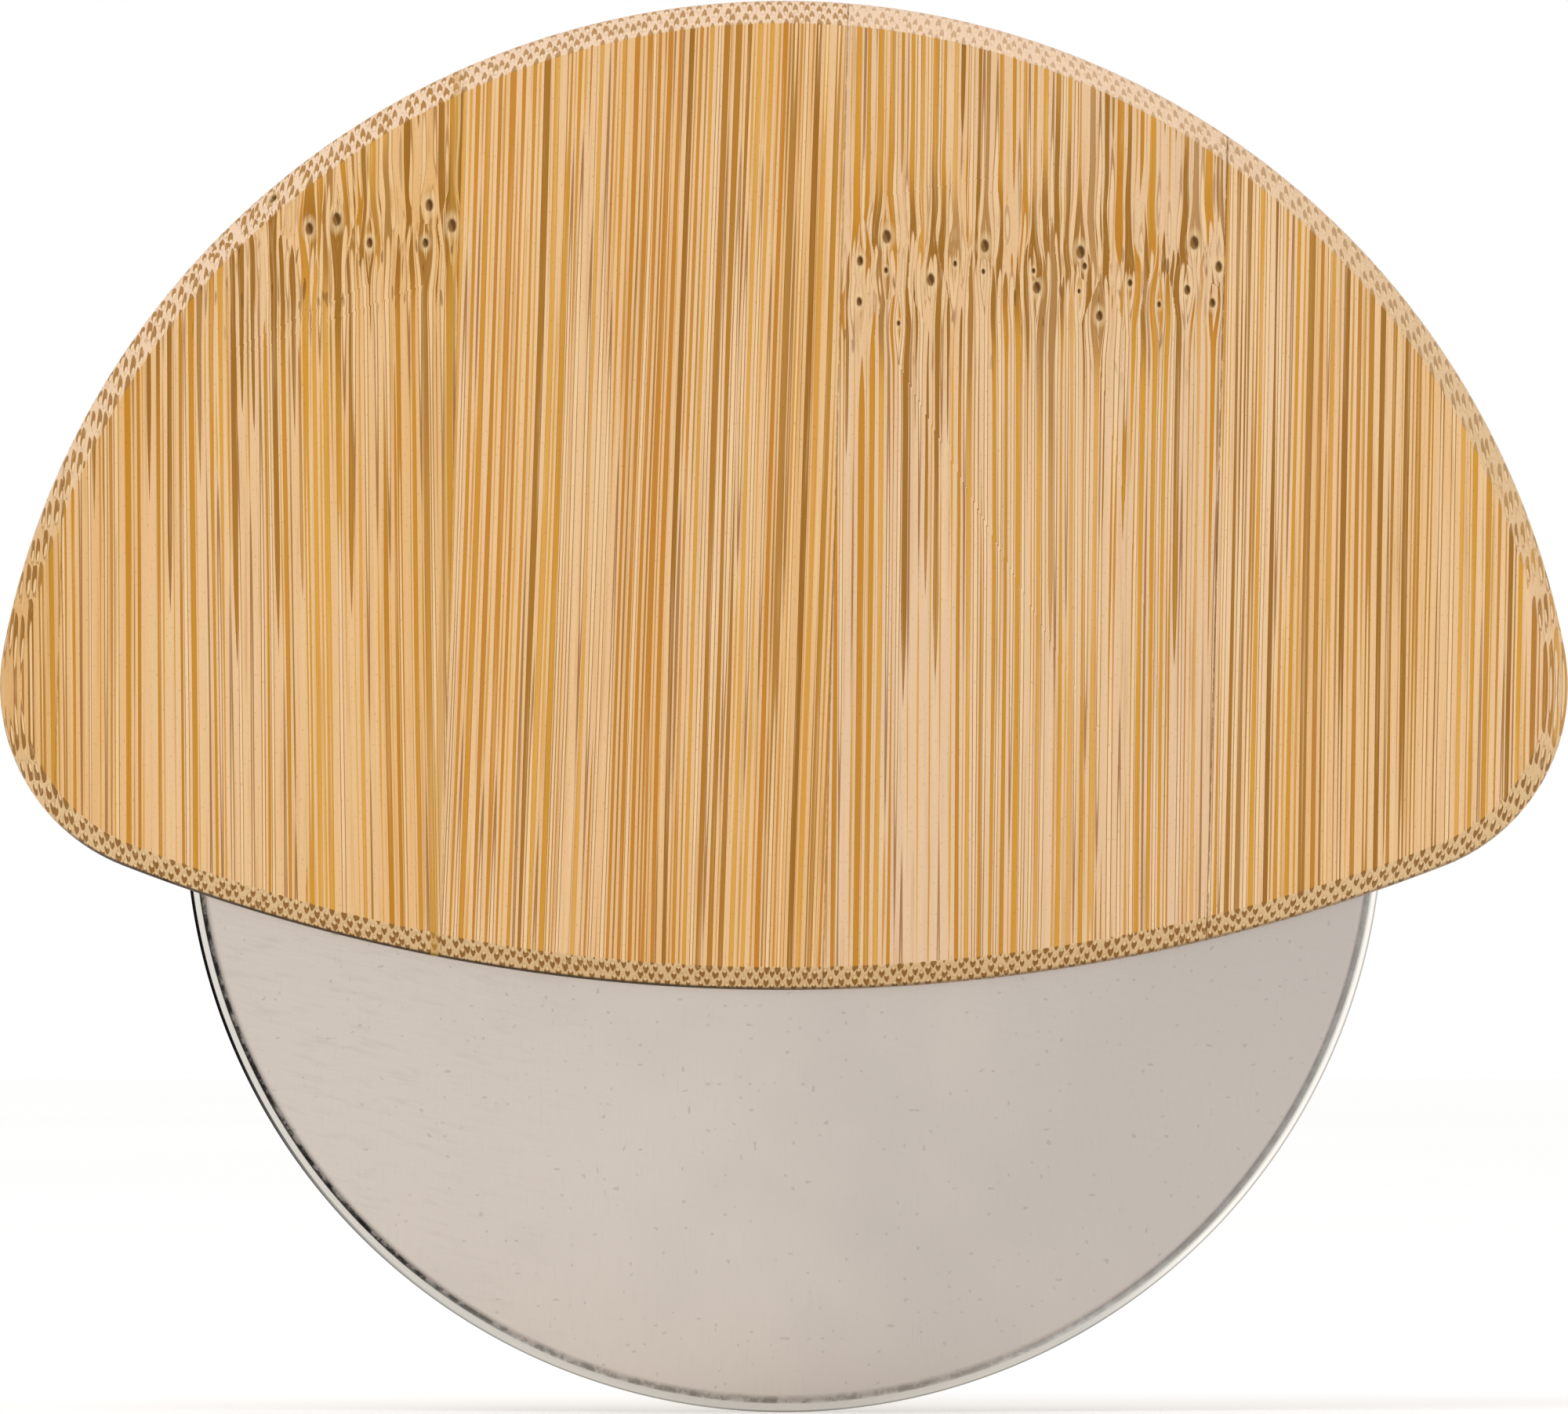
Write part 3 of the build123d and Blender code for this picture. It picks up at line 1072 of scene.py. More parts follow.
class PitPress(Former):
    """Geometry Nodes that press pits into a strip's fine mesh and mark them.

    Attributes:
        bowl, mouth, halo: Where the bowl, its dark mouth and the pale ring round it end and are full, as shares of
            the way from a pit's middle to its border.
        swerve, across_fade, along_fade: How far the fibres swerve round a pit, in its widths, and how fast that
            fades across and along the grain.
    """

    bowl: tuple[float, float] = (1.05, 0.15)
    mouth: tuple[float, float] = (1.0, 0.65)
    halo: tuple[float, float] = (2.2, 1.1)
    swerve: float = 0.6
    across_fade: float = -0.75
    along_fade: float = -0.3

    def __init__(self, width: float = 0.58, height: float = 0.98, depth: float = 0.3) -> None:
        """Builds the group for the usual pit's size.

        Args:
            width: Across the grain, in millimetres.
            height: Along the grain, in millimetres.
            depth: Into the wood, in millimetres.
        """
        self.sizes = {"Width": width * MM, "Height": height * MM, "Depth": depth * MM}
        super().__init__("press_pits", {"Pits": "Object", **dict.fromkeys(self.sizes, "Float"), "Wood": "Material"})
        given = self.given
        pits = self.node("GeometryNodeObjectInfo", values={"Object": given["Pits"]}, result="Geometry")
        where = self.node("GeometryNodeInputPosition")
        squeezed = self.vector("MULTIPLY", where, self.point(1.0, 1.0, given["Width"] / given["Height"]))
        marks = self.form("GeometryNodeSetPosition", Geometry=pits, Position=squeezed)
        nearest = self.form(
            "GeometryNodeSampleNearest", {"domain": "POINT"}, Geometry=marks, Sample_Position=squeezed
        )
        size = self.form("GeometryNodeInputNamedAttribute", {"data_type": "FLOAT"}, Name="size")
        size_there, spot = (
            self.form(
                "GeometryNodeSampleIndex",
                {"data_type": kind, "domain": "POINT"},
                Geometry=marks,
                Value=value,
                Index=nearest,
            )
            for kind, value in (("FLOAT", size), ("FLOAT_VECTOR", where))
        )
        gap = self.vector("DISTANCE", squeezed, spot, "Value")
        share = gap / (given["Width"] * 0.5 * size_there)
        shape = given["Geometry"]
        for name, value in (
            ("pit", share.ramp(*self.mouth)),
            ("halo", share.ramp(*self.halo)),
            ("bend", self._bend(squeezed, spot)),
        ):
            settings = {"data_type": "FLOAT", "domain": "POINT"}
            shape = self.form("GeometryNodeStoreNamedAttribute", settings, Geometry=shape, Name=name, Value=value)
        push = share.ramp(*self.bowl) * given["Depth"] * -1.0
        normal = self.node("GeometryNodeInputNormal")
        offset = self.form("ShaderNodeVectorMath", {"operation": "SCALE"}, Vector=normal, Scale=push)
        self.dress(self.form("GeometryNodeSetPosition", Geometry=shape, Offset=offset), given["Wood"])

    def _bend(self, where: Wire, spot: Wire) -> Wire:
        """Works out how far the fibres swerve round the nearest pit.

        Args:
            where: The point.
            spot: The pit's middle.

        Returns:
            The swerve in millimetres.
        """
        width = self.given["Width"]
        x, _, z = self.split(self.vector("SUBTRACT", where, spot))
        side = x / width
        rise = z / width
        fade = (abs(side) * self.across_fade).power() * (rise * rise * self.along_fade).power()
        return fade * self.maths("SIGN", side) * (width * (self.swerve / MM))

    def press(
        self, mesh: bpy.types.Mesh, pits: Sequence[Pit], face_y: float, wood: bpy.types.Material
    ) -> bpy.types.Mesh:
        """Presses the pits into a mesh.

        Args:
            mesh: The strip, with a fine mesh where the pits go.
            pits: The pits.
            face_y: Where the strip's flat face lies, in millimetres.
            wood: The strip's material.

        Returns:
            The strip with its pits.
        """
        points = bpy.data.meshes.new("pit_points")
        inwards = math.copysign(1.0, -face_y)
        points.from_pydata([(p.x * MM, (face_y + inwards * p.sunk) * MM, p.z * MM) for p in pits], [], [])
        size = points.attributes.new("size", "FLOAT", "POINT")
        size.data.foreach_set("value", [p.size for p in pits])
        marks = bpy.data.objects.new("pit_points", points)
        pressed = self.run(mesh, {**self.sizes, "Pits": marks, "Wood": wood})
        bpy.data.objects.remove(marks)
        return pressed


@dataclass
class Ply:
    """One layer of the handle, edge-glued from strips."""

    outline: Outline = field(default_factory=Outline)
    joints: Sequence[float] = ()
    grains: Sequence[BambooFinish] = ()

    def strips(self, shell: bmesh.types.BMesh) -> Iterator[bmesh.types.BMesh]:
        """Cuts the whole layer into its strips and frees it.

        Args:
            shell: The whole layer.

        Returns:
            The strips from left to right, each a closed mesh.
        """
        normal = Vector((1.0, 0.0, -JOINT_LEAN)).normalized()
        bounds = [None, *self.joints, None]
        for sides in zip(bounds[:-1], bounds[1:]):
            strip = shell.copy()
            for joint, keep_right in zip(sides, (True, False)):
                if joint is not None:
                    self._slice(strip, Vector((joint * MM, 0.0, AXLE_Z * MM)), normal, keep_right)
            yield strip
        shell.free()

    @staticmethod
    def _slice(strip: bmesh.types.BMesh, point: Vector, normal: Vector, keep_ahead: bool) -> None:
        """Cuts a mesh with a plane and closes it.

        Args:
            strip: The mesh to cut.
            point: A point on the plane.
            normal: The plane's direction.
            keep_ahead: Whether the side that the normal points to is kept.
        """
        cut = bmesh.ops.bisect_plane(
            strip,
            geom=strip.verts[:] + strip.edges[:] + strip.faces[:],
            dist=CUT_SLACK,
            plane_co=point,
            plane_no=normal,
            clear_inner=keep_ahead,
            clear_outer=not keep_ahead,
        )
        edges = [e for e in cut["geom_cut"] if isinstance(e, bmesh.types.BMEdge) and e.is_boundary]
        bmesh.ops.holes_fill(strip, edges=edges, sides=0)

    @staticmethod
    def shade_edges(strip: bmesh.types.BMesh, limit: float = 25.0, broad_corners: int = 8) -> None:
        """Smooths gentle edges and keeps the others and the flat faces crisp.

        Args:
            strip: The mesh.
            limit: The angle past which an edge is crisp, in degrees.
            broad_corners: A face with more corners than this is a flat one.
        """
        bmesh.ops.recalc_face_normals(strip, faces=strip.faces[:])
        strip.normal_update()
        for face in strip.faces:
            face.smooth = True
        for edge in strip.edges:
            faces = edge.link_faces
            broad = any(len(face.verts) > broad_corners for face in faces)
            edge.smooth = len(faces) == 2 and not broad and edge.calc_face_angle(0.0) <= math.radians(limit)


@dataclass
class Cheek(Ply):
    """An outer ply: flat inside, sloped and rounded at its outer edge."""

    side: Side = Side.FRONT
    pits: dict[int, Sequence[Pit]] = field(default_factory=dict)
    profile: EdgeProfile = field(default_factory=EdgeProfile)
    seat_radius: float = 2.01
    seat_depth: float = 3.6
    fine_step: float = 0.065
    outer_turn: float = 0.2

    def shell(self) -> bmesh.types.BMesh:
        """The whole ply before it is cut into strips.

        Returns:
            A closed mesh.
        """
        mesh = bmesh.new()
        rings = []
        for inset, depth in self.profile.points():
            y = self.side.value * (HANDLE_DEPTH / 2 - depth)
            rings.append([mesh.verts.new((x * MM, y * MM, z * MM)) for x, z in self.outline.ring(inset)])
        mesh.faces.new(rings[0])
        mesh.faces.new(rings[-1])
        count = len(rings[0])
        for near, far in zip(rings[:-1], rings[1:]):
            for k in range(count):
                after = (k + 1) % count
                mesh.faces.new((near[k], near[after], far[after], far[k]))
        bmesh.ops.recalc_face_normals(mesh, faces=mesh.faces[:])
        return mesh

    def drill(self, strip: bmesh.types.BMesh, count: int = 64) -> None:
        """Sinks the pin's blind seat into a strip's glued face.

        Args:
            strip: The strip's mesh.
            count: How many corners the seat's ring has.
        """
        away = self.side.value
        strip.normal_update()
        glued = max(strip.faces, key=lambda f: -f.normal.y * away * f.calc_area())
        border = list(glued.edges)
        bmesh.ops.delete(strip, geom=[glued], context="FACES_ONLY")
        inner = HANDLE_DEPTH / 2 - self.profile.thickness
        rings = []
        for y in (away * inner, away * (inner + self.seat_depth)):
            turns = [2 * math.pi * k / count for k in range(count)]
            ring = [(self.seat_radius * math.cos(t), y, AXLE_Z + self.seat_radius * math.sin(t)) for t in turns]
            rings.append([strip.verts.new(tuple(part * MM for part in corner)) for corner in ring])
        mouth, floor = rings
        lip = [strip.edges.new((mouth[k - 1], mouth[k])) for k in range(count)]
        bmesh.ops.triangle_fill(strip, edges=border + lip, normal=(0.0, -away, 0.0))
        for k in range(count):
            strip.faces.new((mouth[k - 1], mouth[k], floor[k], floor[k - 1]))
        strip.faces.new(floor)

    def fine_window(self, strip: bmesh.types.BMesh, pits: Sequence[Pit], margin: float = 2.6) -> None:
        """Cuts a fine grid into the strip's outer side round its pits.

        Args:
            strip: The strip's mesh.
            pits: Its pits.
            margin: How far above and below the pits the grid reaches.
        """
        strip.normal_update()
        low = min(p.z for p in pits) - margin
        high = max(p.z for p in pits) + margin
        faces = [f for f in strip.faces if f.normal.y * self.side.value > self.outer_turn]
        faces, _ = self._part(strip, faces, low, Vector((0, 0, 1)))
        _, faces = self._part(strip, faces, high, Vector((0, 0, 1)))
        left = min(v.co.x for f in faces for v in f.verts) / MM
        right = max(v.co.x for f in faces for v in f.verts) / MM
        for first, last, normal in ((left, right, Vector((1, 0, 0))), (low, high, Vector((0, 0, 1)))):
            count = round((last - first) / self.fine_step)
            done = []
            for k in range(1, count):
                faces, behind = self._part(strip, faces, first + (last - first) * k / count, normal)
                done += behind
            faces = done + faces

    @staticmethod
    def _part(
        strip: bmesh.types.BMesh, faces: Sequence[bmesh.types.BMFace], level: float, normal: Vector
    ) -> tuple[list[bmesh.types.BMFace], list[bmesh.types.BMFace]]:
        """Cuts faces along a plane and sorts them by its two sides.

        Args:
            strip: The strip's mesh.
            faces: The faces to cut.
            level: Where the plane lies along its normal, in millimetres.
            normal: The plane's direction.

        Returns:
            The faces ahead of the plane and those behind it.
        """
        point = normal * level * MM
        around = {part for f in faces for part in (f, *f.edges, *f.verts)}
        cut = bmesh.ops.bisect_plane(strip, geom=list(around), dist=CUT_SLACK, plane_co=point, plane_no=normal)
        pieces = [f for f in cut["geom"] if isinstance(f, bmesh.types.BMFace)]
        ahead = [f for f in pieces if (f.calc_center_median() - point).dot(normal) > 0]
        kept = set(ahead)
        return ahead, [f for f in pieces if f not in kept]

    def build(self, press: PitPress) -> None:
        """Makes and dresses the strips.

        Args:
            press: What presses the pits.
        """
        middle = len(self.grains) // 2 + 1
        for k, (strip, grain) in enumerate(zip(self.strips(self.shell()), self.grains), start=1):
            pits = self.pits.get(k, ())
            if k == middle:
                self.drill(strip)
            if pits:
                self.fine_window(strip, pits)
            self.shade_edges(strip)
            node = f"{self.side.name.lower()}_strip_{k}"
            mesh = plain_mesh(f"{node}_wood", strip)
            material = grain.material()
            if pits:
                mesh = press.press(mesh, pits, self.side.value * HANDLE_DEPTH / 2, material)
            add_piece(mesh, f"{node}_wood", Body.HANDLE, Slot.CHEEK, material, [node])


@dataclass
class Core(Ply):
    """The middle ply: an arch round the blade's pocket."""

    names: Sequence[str] = ()
    pocket_radius: float = 38.95
    weld: float = 1e-7
    halvings: int = 40

    def shell(self) -> bmesh.types.BMesh:
        """The whole arch before it is cut into strips.

        Returns:
            A closed mesh.
        """
        outer = self.outline.ring()
        away = np.hypot(outer[:, 0], outer[:, 1] - AXLE_Z)
        kept = np.where(away > self.pocket_radius)[0]
        gap = next(k for k in range(len(kept)) if kept[k] - kept[k - 1] not in (1, 1 - len(outer)))
        arch = outer[np.roll(kept, -gap)]
        first, last = (self._crossing(arch[k], arch[m]) for k, m in ((0, 1), (-1, -2)))
        arch = np.vstack([first, arch, last])
        start, end = (math.atan2(z - AXLE_Z, x) for x, z in (first, last))
        while end > start:
            end -= 2 * math.pi
        steps = np.concatenate([[0.0], np.cumsum(np.hypot(*np.diff(arch, axis=0).T))])
        angles = start + (end - start) * steps / steps[-1]
        pocket = np.column_stack([np.cos(angles), np.sin(angles)]) * self.pocket_radius + (0.0, AXLE_Z)
        half = CORE_THICKNESS / 2
        outwards = arch - np.array([0.0, AXLE_Z])
        inset = arch - GLUE_GROOVE * outwards / np.hypot(*outwards.T)[:, None]
        rings = (
            (inset, -half),
            (arch, GLUE_GROOVE - half),
            (arch, half - GLUE_GROOVE),
            (inset, half),
            (pocket, half),
            (pocket, -half),
        )
        mesh = bmesh.new()
        rows = [[mesh.verts.new((x * MM, y * MM, z * MM)) for x, z in ring] for ring, y in rings]
        for near, far in zip(rows, rows[1:] + rows[:1]):
            for m in range(len(arch) - 1):
                mesh.faces.new([near[m], near[m + 1], far[m + 1], far[m]])
        mesh.faces.new([row[0] for row in rows])
        mesh.faces.new([row[-1] for row in reversed(rows)])
        bmesh.ops.remove_doubles(mesh, verts=mesh.verts[:], dist=self.weld)
        bmesh.ops.recalc_face_normals(mesh, faces=mesh.faces[:])
        return mesh

    def _crossing(self, near: np.ndarray, far: np.ndarray) -> np.ndarray:
        """Where the outline meets the pocket, just outside two neighbouring points.

        Args:
            near: The arch's end point.
            far: The point next to it.

        Returns:
            The crossing's x and z.
        """
        step = near - far
        low, high = 0.0, 2.0
        for _ in range(self.halvings):
            middle = (low + high) / 2
            x, z = near + step * middle
            if math.hypot(x, z - AXLE_Z) > self.pocket_radius:
                low = middle
            else:
                high = middle
        return near + step * low

    def build(self) -> None:
        """Makes and dresses the strips."""
        for strip, name, grain in zip(self.strips(self.shell()), self.names, self.grains):
            self.shade_edges(strip)
            node = f"core_{name}"
            mesh = plain_mesh(f"{node}_wood", strip)
            add_piece(mesh, f"{node}_wood", Body.HANDLE, Slot.CORE, grain.material(), [node])


@dataclass
class Blade:
    """The round blade: a flat disc with a bevel on both faces of its rim."""

    radius: float = BLADE_RADIUS
    bore: float = 4.51
    thickness: float = 1.0
    bevel: float = BLADE_BEVEL
    edge: float = 0.16
    steps: int = 8
    segments: int = 512
    crisp_angle: float = 40.0
    weld: float = 1e-8
    finish: BladeFinish = field(default_factory=BladeFinish)

    def _former(self, lengths: Sequence[str]) -> Former:
        """Builds the node group that sweeps the blade's section round its axle.

        Args:
            lengths: The names of the group's lengths.

        Returns:
            The group.
        """
        former = Former("turn_blade", {**dict.fromkeys(lengths, "Float"), "Segments": "Int", "Steel": "Material"})
        given = former.given
        radius, half = given["Radius"], given["Half Thickness"]
        drop = given["Half Edge"] - half
        side = [(given["Bore"] - radius, half)]
        for k in range(self.steps + 1):
            share = k / self.steps
            side.append((given["Bevel"] * (share - 1.0), drop * share**2 + half))
        section = side + [(reach, height * -1.0) for reach, height in reversed(side)]
        corners = [former.point(reach, height) for reach, height in section]
        switch = former.tree.nodes.new("GeometryNodeIndexSwitch")
        switch.data_type = "VECTOR"
        while len(switch.index_switch_items) < len(corners):
            switch.index_switch_items.new()
        for socket, wire in zip(switch.inputs, [former.node("GeometryNodeInputIndex"), *corners]):
            former.tree.links.new(wire.socket, socket)
        line = former.form("GeometryNodeMeshLine", Count=len(corners))
        bent = former.form("GeometryNodeSetPosition", Geometry=line, Position=Wire(former, switch.outputs[0]))
        curve = former.form("GeometryNodeMeshToCurve", Mesh=bent)
        closed = former.form("GeometryNodeSetSplineCyclic", Geometry=curve, Cyclic=True)
        path = former.form(
            "GeometryNodeCurvePrimitiveCircle", {"mode": "RADIUS"}, Resolution=given["Segments"], Radius=radius
        )
        swept = former.form("GeometryNodeCurveToMesh", Curve=path, Profile_Curve=closed)
        lift = former.point(0.0, 0.0, given["Axle Height"])
        upright = (math.pi / 2, 0.0, 0.0)
        stood = former.form("GeometryNodeTransform", Geometry=swept, Translation=lift, Rotation=upright)
        former.dress(stood, given["Steel"])
        return former

    def build(self) -> None:
        """Makes and dresses the blade."""
        material = self.finish.material()
        lengths = {
            "Radius": self.radius * MM,
            "Bore": self.bore * MM,
            "Half Thickness": self.thickness * MM / 2,
            "Bevel": self.bevel * MM,
            "Half Edge": self.edge * MM / 2,
            "Axle Height": AXLE_Z * MM,
        }
        start = bpy.data.meshes.new("blade_start")
        mesh = self._former(list(lengths)).run(start, {**lengths, "Segments": self.segments, "Steel": material})
        disc = bmesh.new()
        disc.from_mesh(mesh)
        bmesh.ops.remove_doubles(disc, verts=disc.verts[:], dist=self.weld)
        Ply.shade_edges(disc, self.crisp_angle)
        add_piece(plain_mesh("blade_disc", disc), "blade_disc", Body.WHEEL, Slot.BLADE, material, ["blade"])


@dataclass
class Hub:
    """The pin, the bush and the two thrust washers, which keep their CAD shapes."""

    steel: PinFinish = field(default_factory=PinFinish)
    nylon: NylonFinish = field(default_factory=NylonFinish)

    def build(self) -> None:
        """Dresses the four pieces."""
        nylon = self.nylon.material()
        finishes = {"axle_pin": self.steel.material()}
        finishes.update(dict.fromkeys(("blade_bush", "front_washer", "back_washer"), nylon))
        for name, material in finishes.items():
            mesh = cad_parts[name].data
            mesh.materials.clear()
            mesh.materials.append(material)
            LOG.info("%s: dressed in %s", name, material.name)


@dataclass(frozen=True)
class Card:
    """A card curved round the blade that only the reflections see, fading into the sky's tone near the floor.

    It runs between two angles, in degrees anticlockwise from the right. Each side is given by its distance from
    the axle and its y. It is as bright as glow, where 1 is white, above the height fade.
    """

    name: str
    turn: tuple[float, float]
    near: tuple[float, float]
    far: tuple[float, float]
    glow: float
    fade: float
    steps: int = 48

    def build(self, sky: float) -> None:
        """Makes the card.

        Args:
            sky: How bright the sky is.
        """
        corners = []
        first, last = self.turn
        for k in range(self.steps + 1):
            angle = math.radians(first + (last - first) * k / self.steps)
            for reach, y in (self.near, self.far):
                corners.append((reach * math.cos(angle) * MM, y * MM, (AXLE_Z + reach * math.sin(angle)) * MM))
        faces = [(k, k + 1, k + 3, k + 2) for k in range(0, 2 * self.steps, 2)]
        mesh = bpy.data.meshes.new(self.name)
        mesh.from_pydata(corners, [], faces)
        shade = Shade(self.name)
        height = shade.place()[2]
        light = shade.mix((sky, sky, sky, 1.0), (self.glow, self.glow, self.glow, 1.0), height.ramp(0.0, self.fade))
        black = {"Base Color": (0.0, 0.0, 0.0, 1.0), "Specular IOR Level": 0.0}
        mesh.materials.append(shade.finish({**black, "Emission Color": light, "Emission Strength": 1.0}))
        card = add_object(self.name, mesh)
        card.visible_camera = False
        card.visible_diffuse = False
        card.visible_shadow = False


@dataclass
class Studio:
    """Pale floor, soft light and the camera. Places and the floor's and lamp's sizes are in metres."""

    lens: float = 1200.0
    sensor: float = 36.0
    frame_width: float = 100.0
    aim_z: float = 45.05
    outline_y: float = -5.0
    clip: float = 20.0
    sky: float = 0.91
    backdrop: float = 1.0
    floor_half: float = 3.0
    floor_glow: float = 0.09
    floor_clouds: Grit = Grit((0.004, 0.004, 1.0), 2.0)
    floor_white: str = "FEFEFD"
    floor_cloud: str = "FCFCFB"
    lamp_place: tuple[float, float, float] = (-0.45, -1.2, 1.15)
    lamp_size: float = 1.2
    lamp_power: float = 4.8
    cards: Sequence[Card] = (
        Card("left_inner_card", (186, 262), (39.2, -5.5), (42.3, -5.5), 0.06, 8.0),
        Card("left_outer_card", (186, 262), (43.0, -2.6), (43.0, -1.2), 0.01, 22.0),
        Card("right_inner_card", (278, 354), (39.2, -5.5), (43.8, -5.5), 0.6, 8.0),
        Card("right_outer_card", (278, 354), (43.0, -3.6), (43.0, -1.4), 1.5, 8.0),
    )

    def build(self) -> None:
        """Makes the floor, the light, the cards, the sky and the camera."""
        self._floor()
        self._lamp()
        for card in self.cards:
            card.build(self.sky)
        self._sky()
        self._camera()

    def _floor(self) -> None:
        """Makes the pale floor."""
        half = self.floor_half
        mesh = bpy.data.meshes.new("floor")
        mesh.from_pydata([(-half, -half, 0), (half, -half, 0), (half, half, 0), (-half, half, 0)], [], [(0, 1, 2, 3)])
        shade = Shade("pale_floor")
        x, y, _ = shade.place()
        cloud = shade.noise((x, y, 0.0), self.floor_clouds)
        skin = shade.mix(self.floor_white, self.floor_cloud, cloud.ramp(0.3, 0.7))
        values = {"Base Color": skin, "Roughness": 0.9, "Specular IOR Level": 0.1}
        values.update({"Emission Color": skin, "Emission Strength": self.floor_glow})
        mesh.materials.append(shade.finish(values))
        floor = add_object("floor", mesh)

    def _lamp(self) -> None:
        """Makes one soft light that looks at the handle."""
        lamp = bpy.data.lights.new("key_light", "AREA")
        lamp.shape = "DISK"
        lamp.size = self.lamp_size
        lamp.energy = self.lamp_power
        aim = Vector((0, 0, self.aim_z * MM)) - Vector(self.lamp_place)
        light = add_object("key_light", lamp)
        light.location = self.lamp_place
        light.rotation_euler = aim.to_track_quat("-Z", "Y").to_euler()

    def _sky(self) -> None:
        """Makes the even light all round, which the camera sees as the backdrop."""
        world = bpy.data.worlds.new("studio")
        bpy.context.scene.world = world
        world.use_nodes = True
        build = Tree(world.node_tree)
        back = next(n for n in build.tree.nodes if n.type == "BACKGROUND")
        back.inputs["Color"].default_value = (1.0, 1.0, 1.0, 1.0)
        seen = build.node("ShaderNodeLightPath", result="Is Camera Ray")
        values = {"Value": seen, "To Min": self.sky, "To Max": self.backdrop}
        strength = build.node("ShaderNodeMapRange", values=values)
        build.tree.links.new(strength.socket, back.inputs["Strength"])

    def _camera(self) -> None:
        """Makes the camera, square to the front and far away."""
        data = bpy.data.cameras.new("camera")
        data.sensor_width = self.sensor
        data.lens = self.lens
        data.clip_end = self.clip
        away = self.frame_width * self.lens / self.sensor
        camera = add_object("camera", data)
        camera.location = (0.0, (self.outline_y - away) * MM, self.aim_z * MM)
        camera.rotation_euler = (math.pi / 2, 0.0, 0.0)
        bpy.context.scene.camera = camera
        bpy.context.scene.view_settings.view_transform = "Standard"


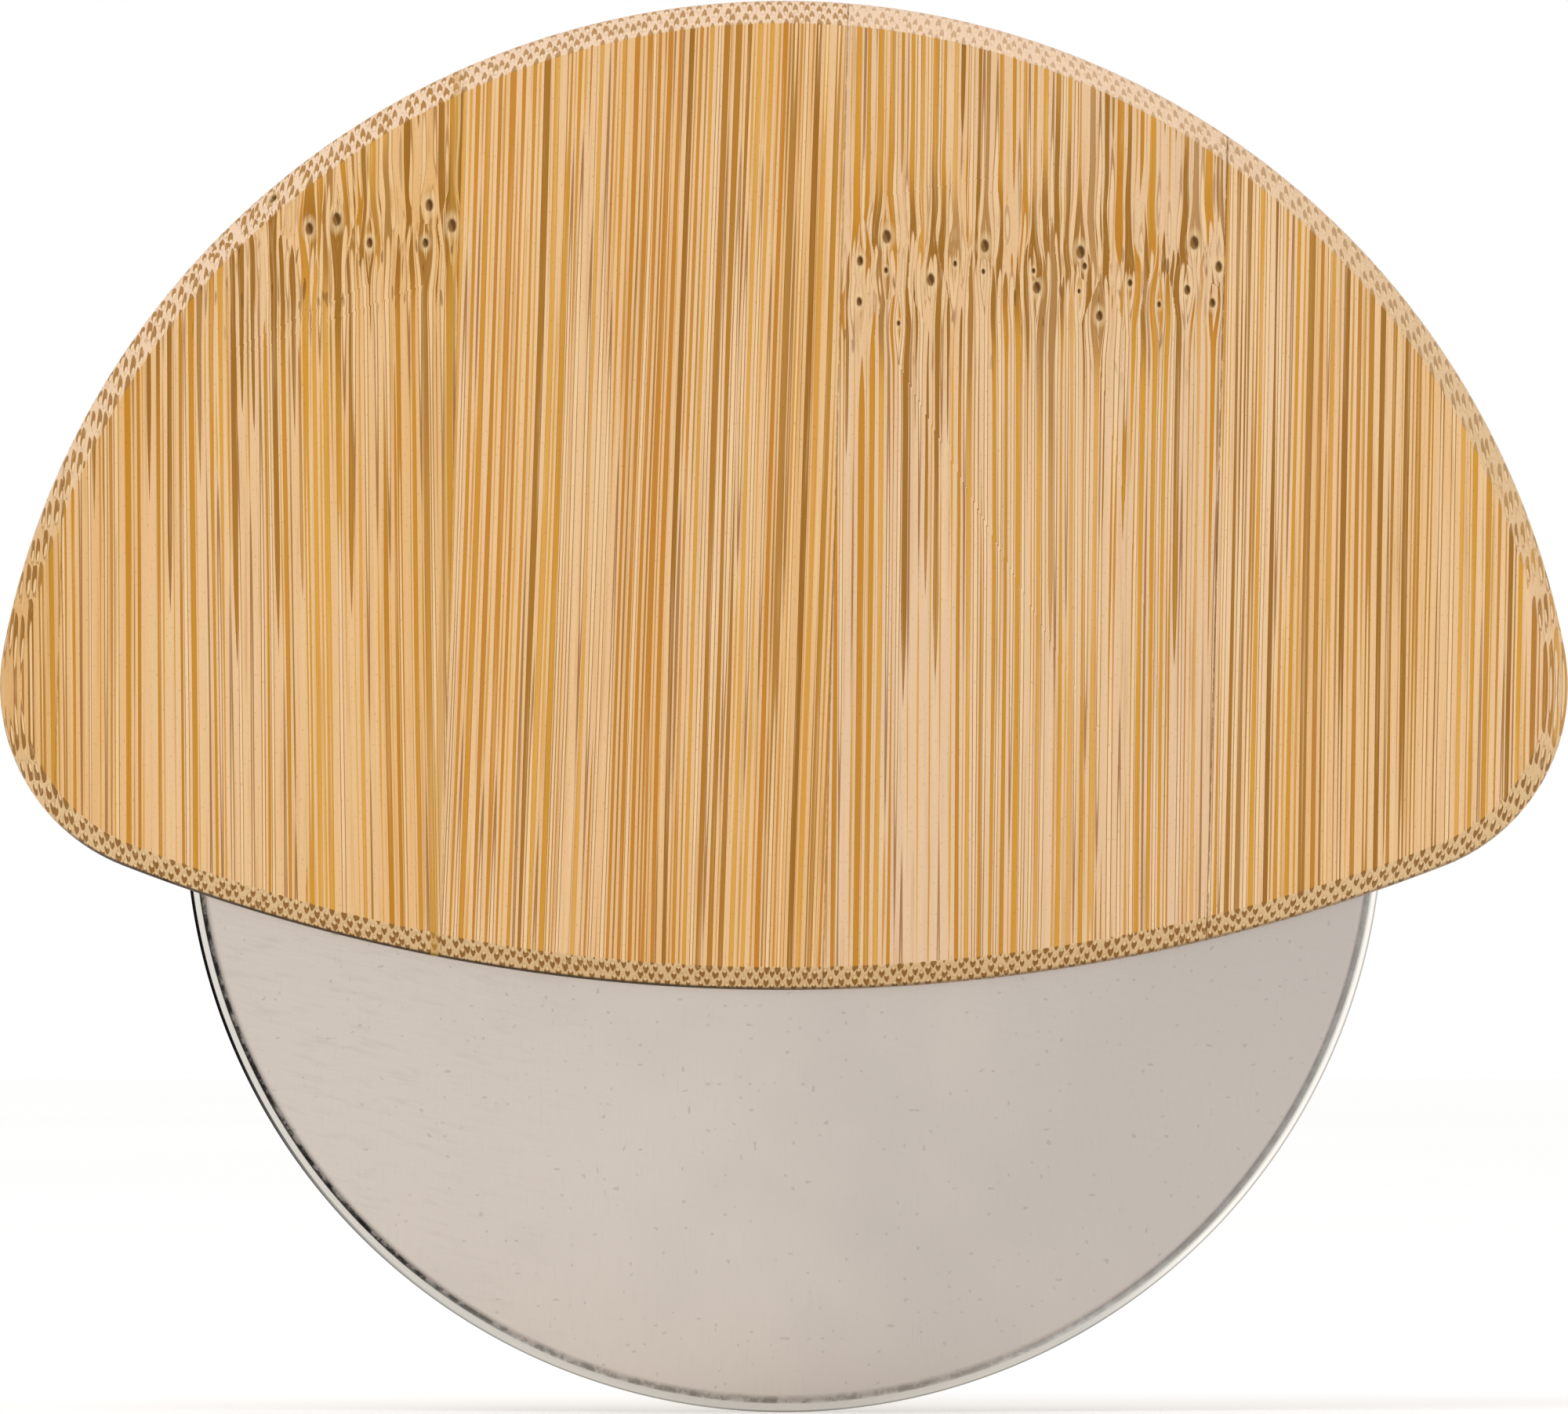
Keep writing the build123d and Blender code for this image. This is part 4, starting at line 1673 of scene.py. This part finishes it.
def front_cheek() -> Cheek:
    """The front ply with its measured joints, knuckles and pits.

    Returns:
        The ply, ready to build.
    """
    joints = (-46.5, -21.65, 2.75, 27.15)
    glue = tuple(zip(joints, (0.4, 0.3, 0.55, 0.75)))
    # The front strips get painted shade on the downward-facing edge under the slope.
    strip = partial(BambooFinish, face_y=-HANDLE_DEPTH / 2, inward=1, glue=glue, under_shade=0.95)
    grains = (
        strip(
            "bamboo_front_1",
            seed=3.1,
            lean=-0.7,
            dense=((-48.6, 1.8),),
            pitch=0.75,
            warmth=0.6,
            dark=0.55,
            ground="DAB07C",
            ground_warm="C59553",
            streak="A6701C",
        ),
        strip(
            "bamboo_front_2",
            seed=11.7,
            lean=-0.6,
            dense=((-23.8, 1.8), (-43.5, 3.0)),
            edge_streak=(-22.3, -21.8),
            pitch=0.69,
            warmth=0.55,
            dark=0.08,
            ground="E1BC91",
            knuckle=Knuckle(z=76.0, step=0.5, length=4.5, age=0.2, ending=0.2),
        ),
        strip(
            "bamboo_front_3",
            seed=23.4,
            lean=1.85,
            dense=((0.0, 1.8), (-9.5, 3.0)),
            pitch=0.72,
            faint=0.15,
            streak="BC7A20",
        ),
        strip(
            "bamboo_front_4",
            seed=37.9,
            lean=0.65,
            pitch=0.72,
            warmth=0.2,
            dark=0.06,
            faint=0.55,
            uneven=0.8,
            ground="DDBB96",
            knuckle=Knuckle(z=74.0),
        ),
        strip(
            "bamboo_front_5",
            seed=52.3,
            lean=1.1,
            dense=((33.5, 1.2),),
            pitch=0.77,
            warmth=0.4,
            dark=0.15,
            faint=0.45,
            streak="A8702A",
        ),
    )
    left_pits = (
        (-30.25, 75.53, 1.0),
        (-28.5, 76.13, 1.1),
        (-26.4, 74.63, 0.8),
        (-22.6, 77.03, 1.0),
        (-22.85, 74.63, 0.75),
        (-21.15, 75.73, 1.1),
        (-32.6, 77.48, 1.0, 1.15),
    )
    right_pits = (
        (6.55, 75.03, 1.1),
        (4.85, 73.48, 0.8),
        (4.8, 70.88, 0.7),
        (6.5, 72.88, 0.5),
        (9.35, 72.28, 1.0),
        (12.8, 74.43, 1.05),
        (16.1, 71.78, 1.0),
        (18.9, 74.03, 1.1),
        (22.05, 72.08, 0.6),
        (26.15, 74.63, 1.1),
        (25.7, 71.63, 0.8),
        (12.7, 72.8, 0.45),
        (10.9, 73.3, 0.5),
        (15.9, 72.85, 0.45),
        (18.8, 71.55, 0.4),
        (19.15, 73.15, 0.6),
        (20.1, 69.97, 0.85),
        (23.9, 70.7, 0.5),
        (27.3, 70.8, 0.75),
        (27.7, 73.1, 0.9),
        (7.3, 69.5, 0.45),
    )
    pits = {k: [Pit(*row) for row in rows] for k, rows in ((2, left_pits), (4, right_pits))}
    return Cheek(side=Side.FRONT, joints=joints, grains=grains, pits=pits)


def back_cheek() -> Cheek:
    """The back ply, plain all over.

    Returns:
        The ply, ready to build.
    """
    joints = (-29.2, -4.8, 19.6, 44.0)
    strip = partial(BambooFinish, face_y=HANDLE_DEPTH / 2, inward=-1, glue=tuple((joint, 0.5) for joint in joints))
    rows = ((61.2, 0.85, 0.45), (74.5, 0.75, 0.6), (83.8, 0.9, 0.4), (97.1, 0.8, 0.55), (108.6, 0.85, 0.5))
    grains = [
        strip(f"bamboo_back_{k}", seed=seed, pitch=pitch, warmth=warmth)
        for k, (seed, pitch, warmth) in enumerate(rows, start=1)
    ]
    return Cheek(side=Side.BACK, joints=joints, grains=grains)


def core_ply() -> Core:
    """The middle ply.

    Returns:
        The ply, ready to build.
    """
    names = ("left_leg", "left_shoulder", "crown", "right_shoulder", "right_leg")
    strip = partial(BambooFinish, face_y=-CORE_THICKNESS / 2, inward=1)
    grains = [
        strip(f"bamboo_core_{name}", seed=121.3 + 9.7 * k, warmth=0.4 + 0.1 * (k % 3)) for k, name in enumerate(names)
    ]
    return Core(joints=(-37.4, -13.0, 13.0, 37.4), names=names, grains=grains)


def main() -> None:
    """Builds the handle, the wheel and the studio in order."""
    logging.basicConfig(level=logging.INFO, format="%(name)s: %(message)s")
    press = PitPress()
    front_cheek().build(press)
    core_ply().build()
    back_cheek().build(press)
    Blade().build()
    Hub().build()
    Studio().build()
    bpy.context.view_layer.update()


if __name__ == "__main__":
    main()
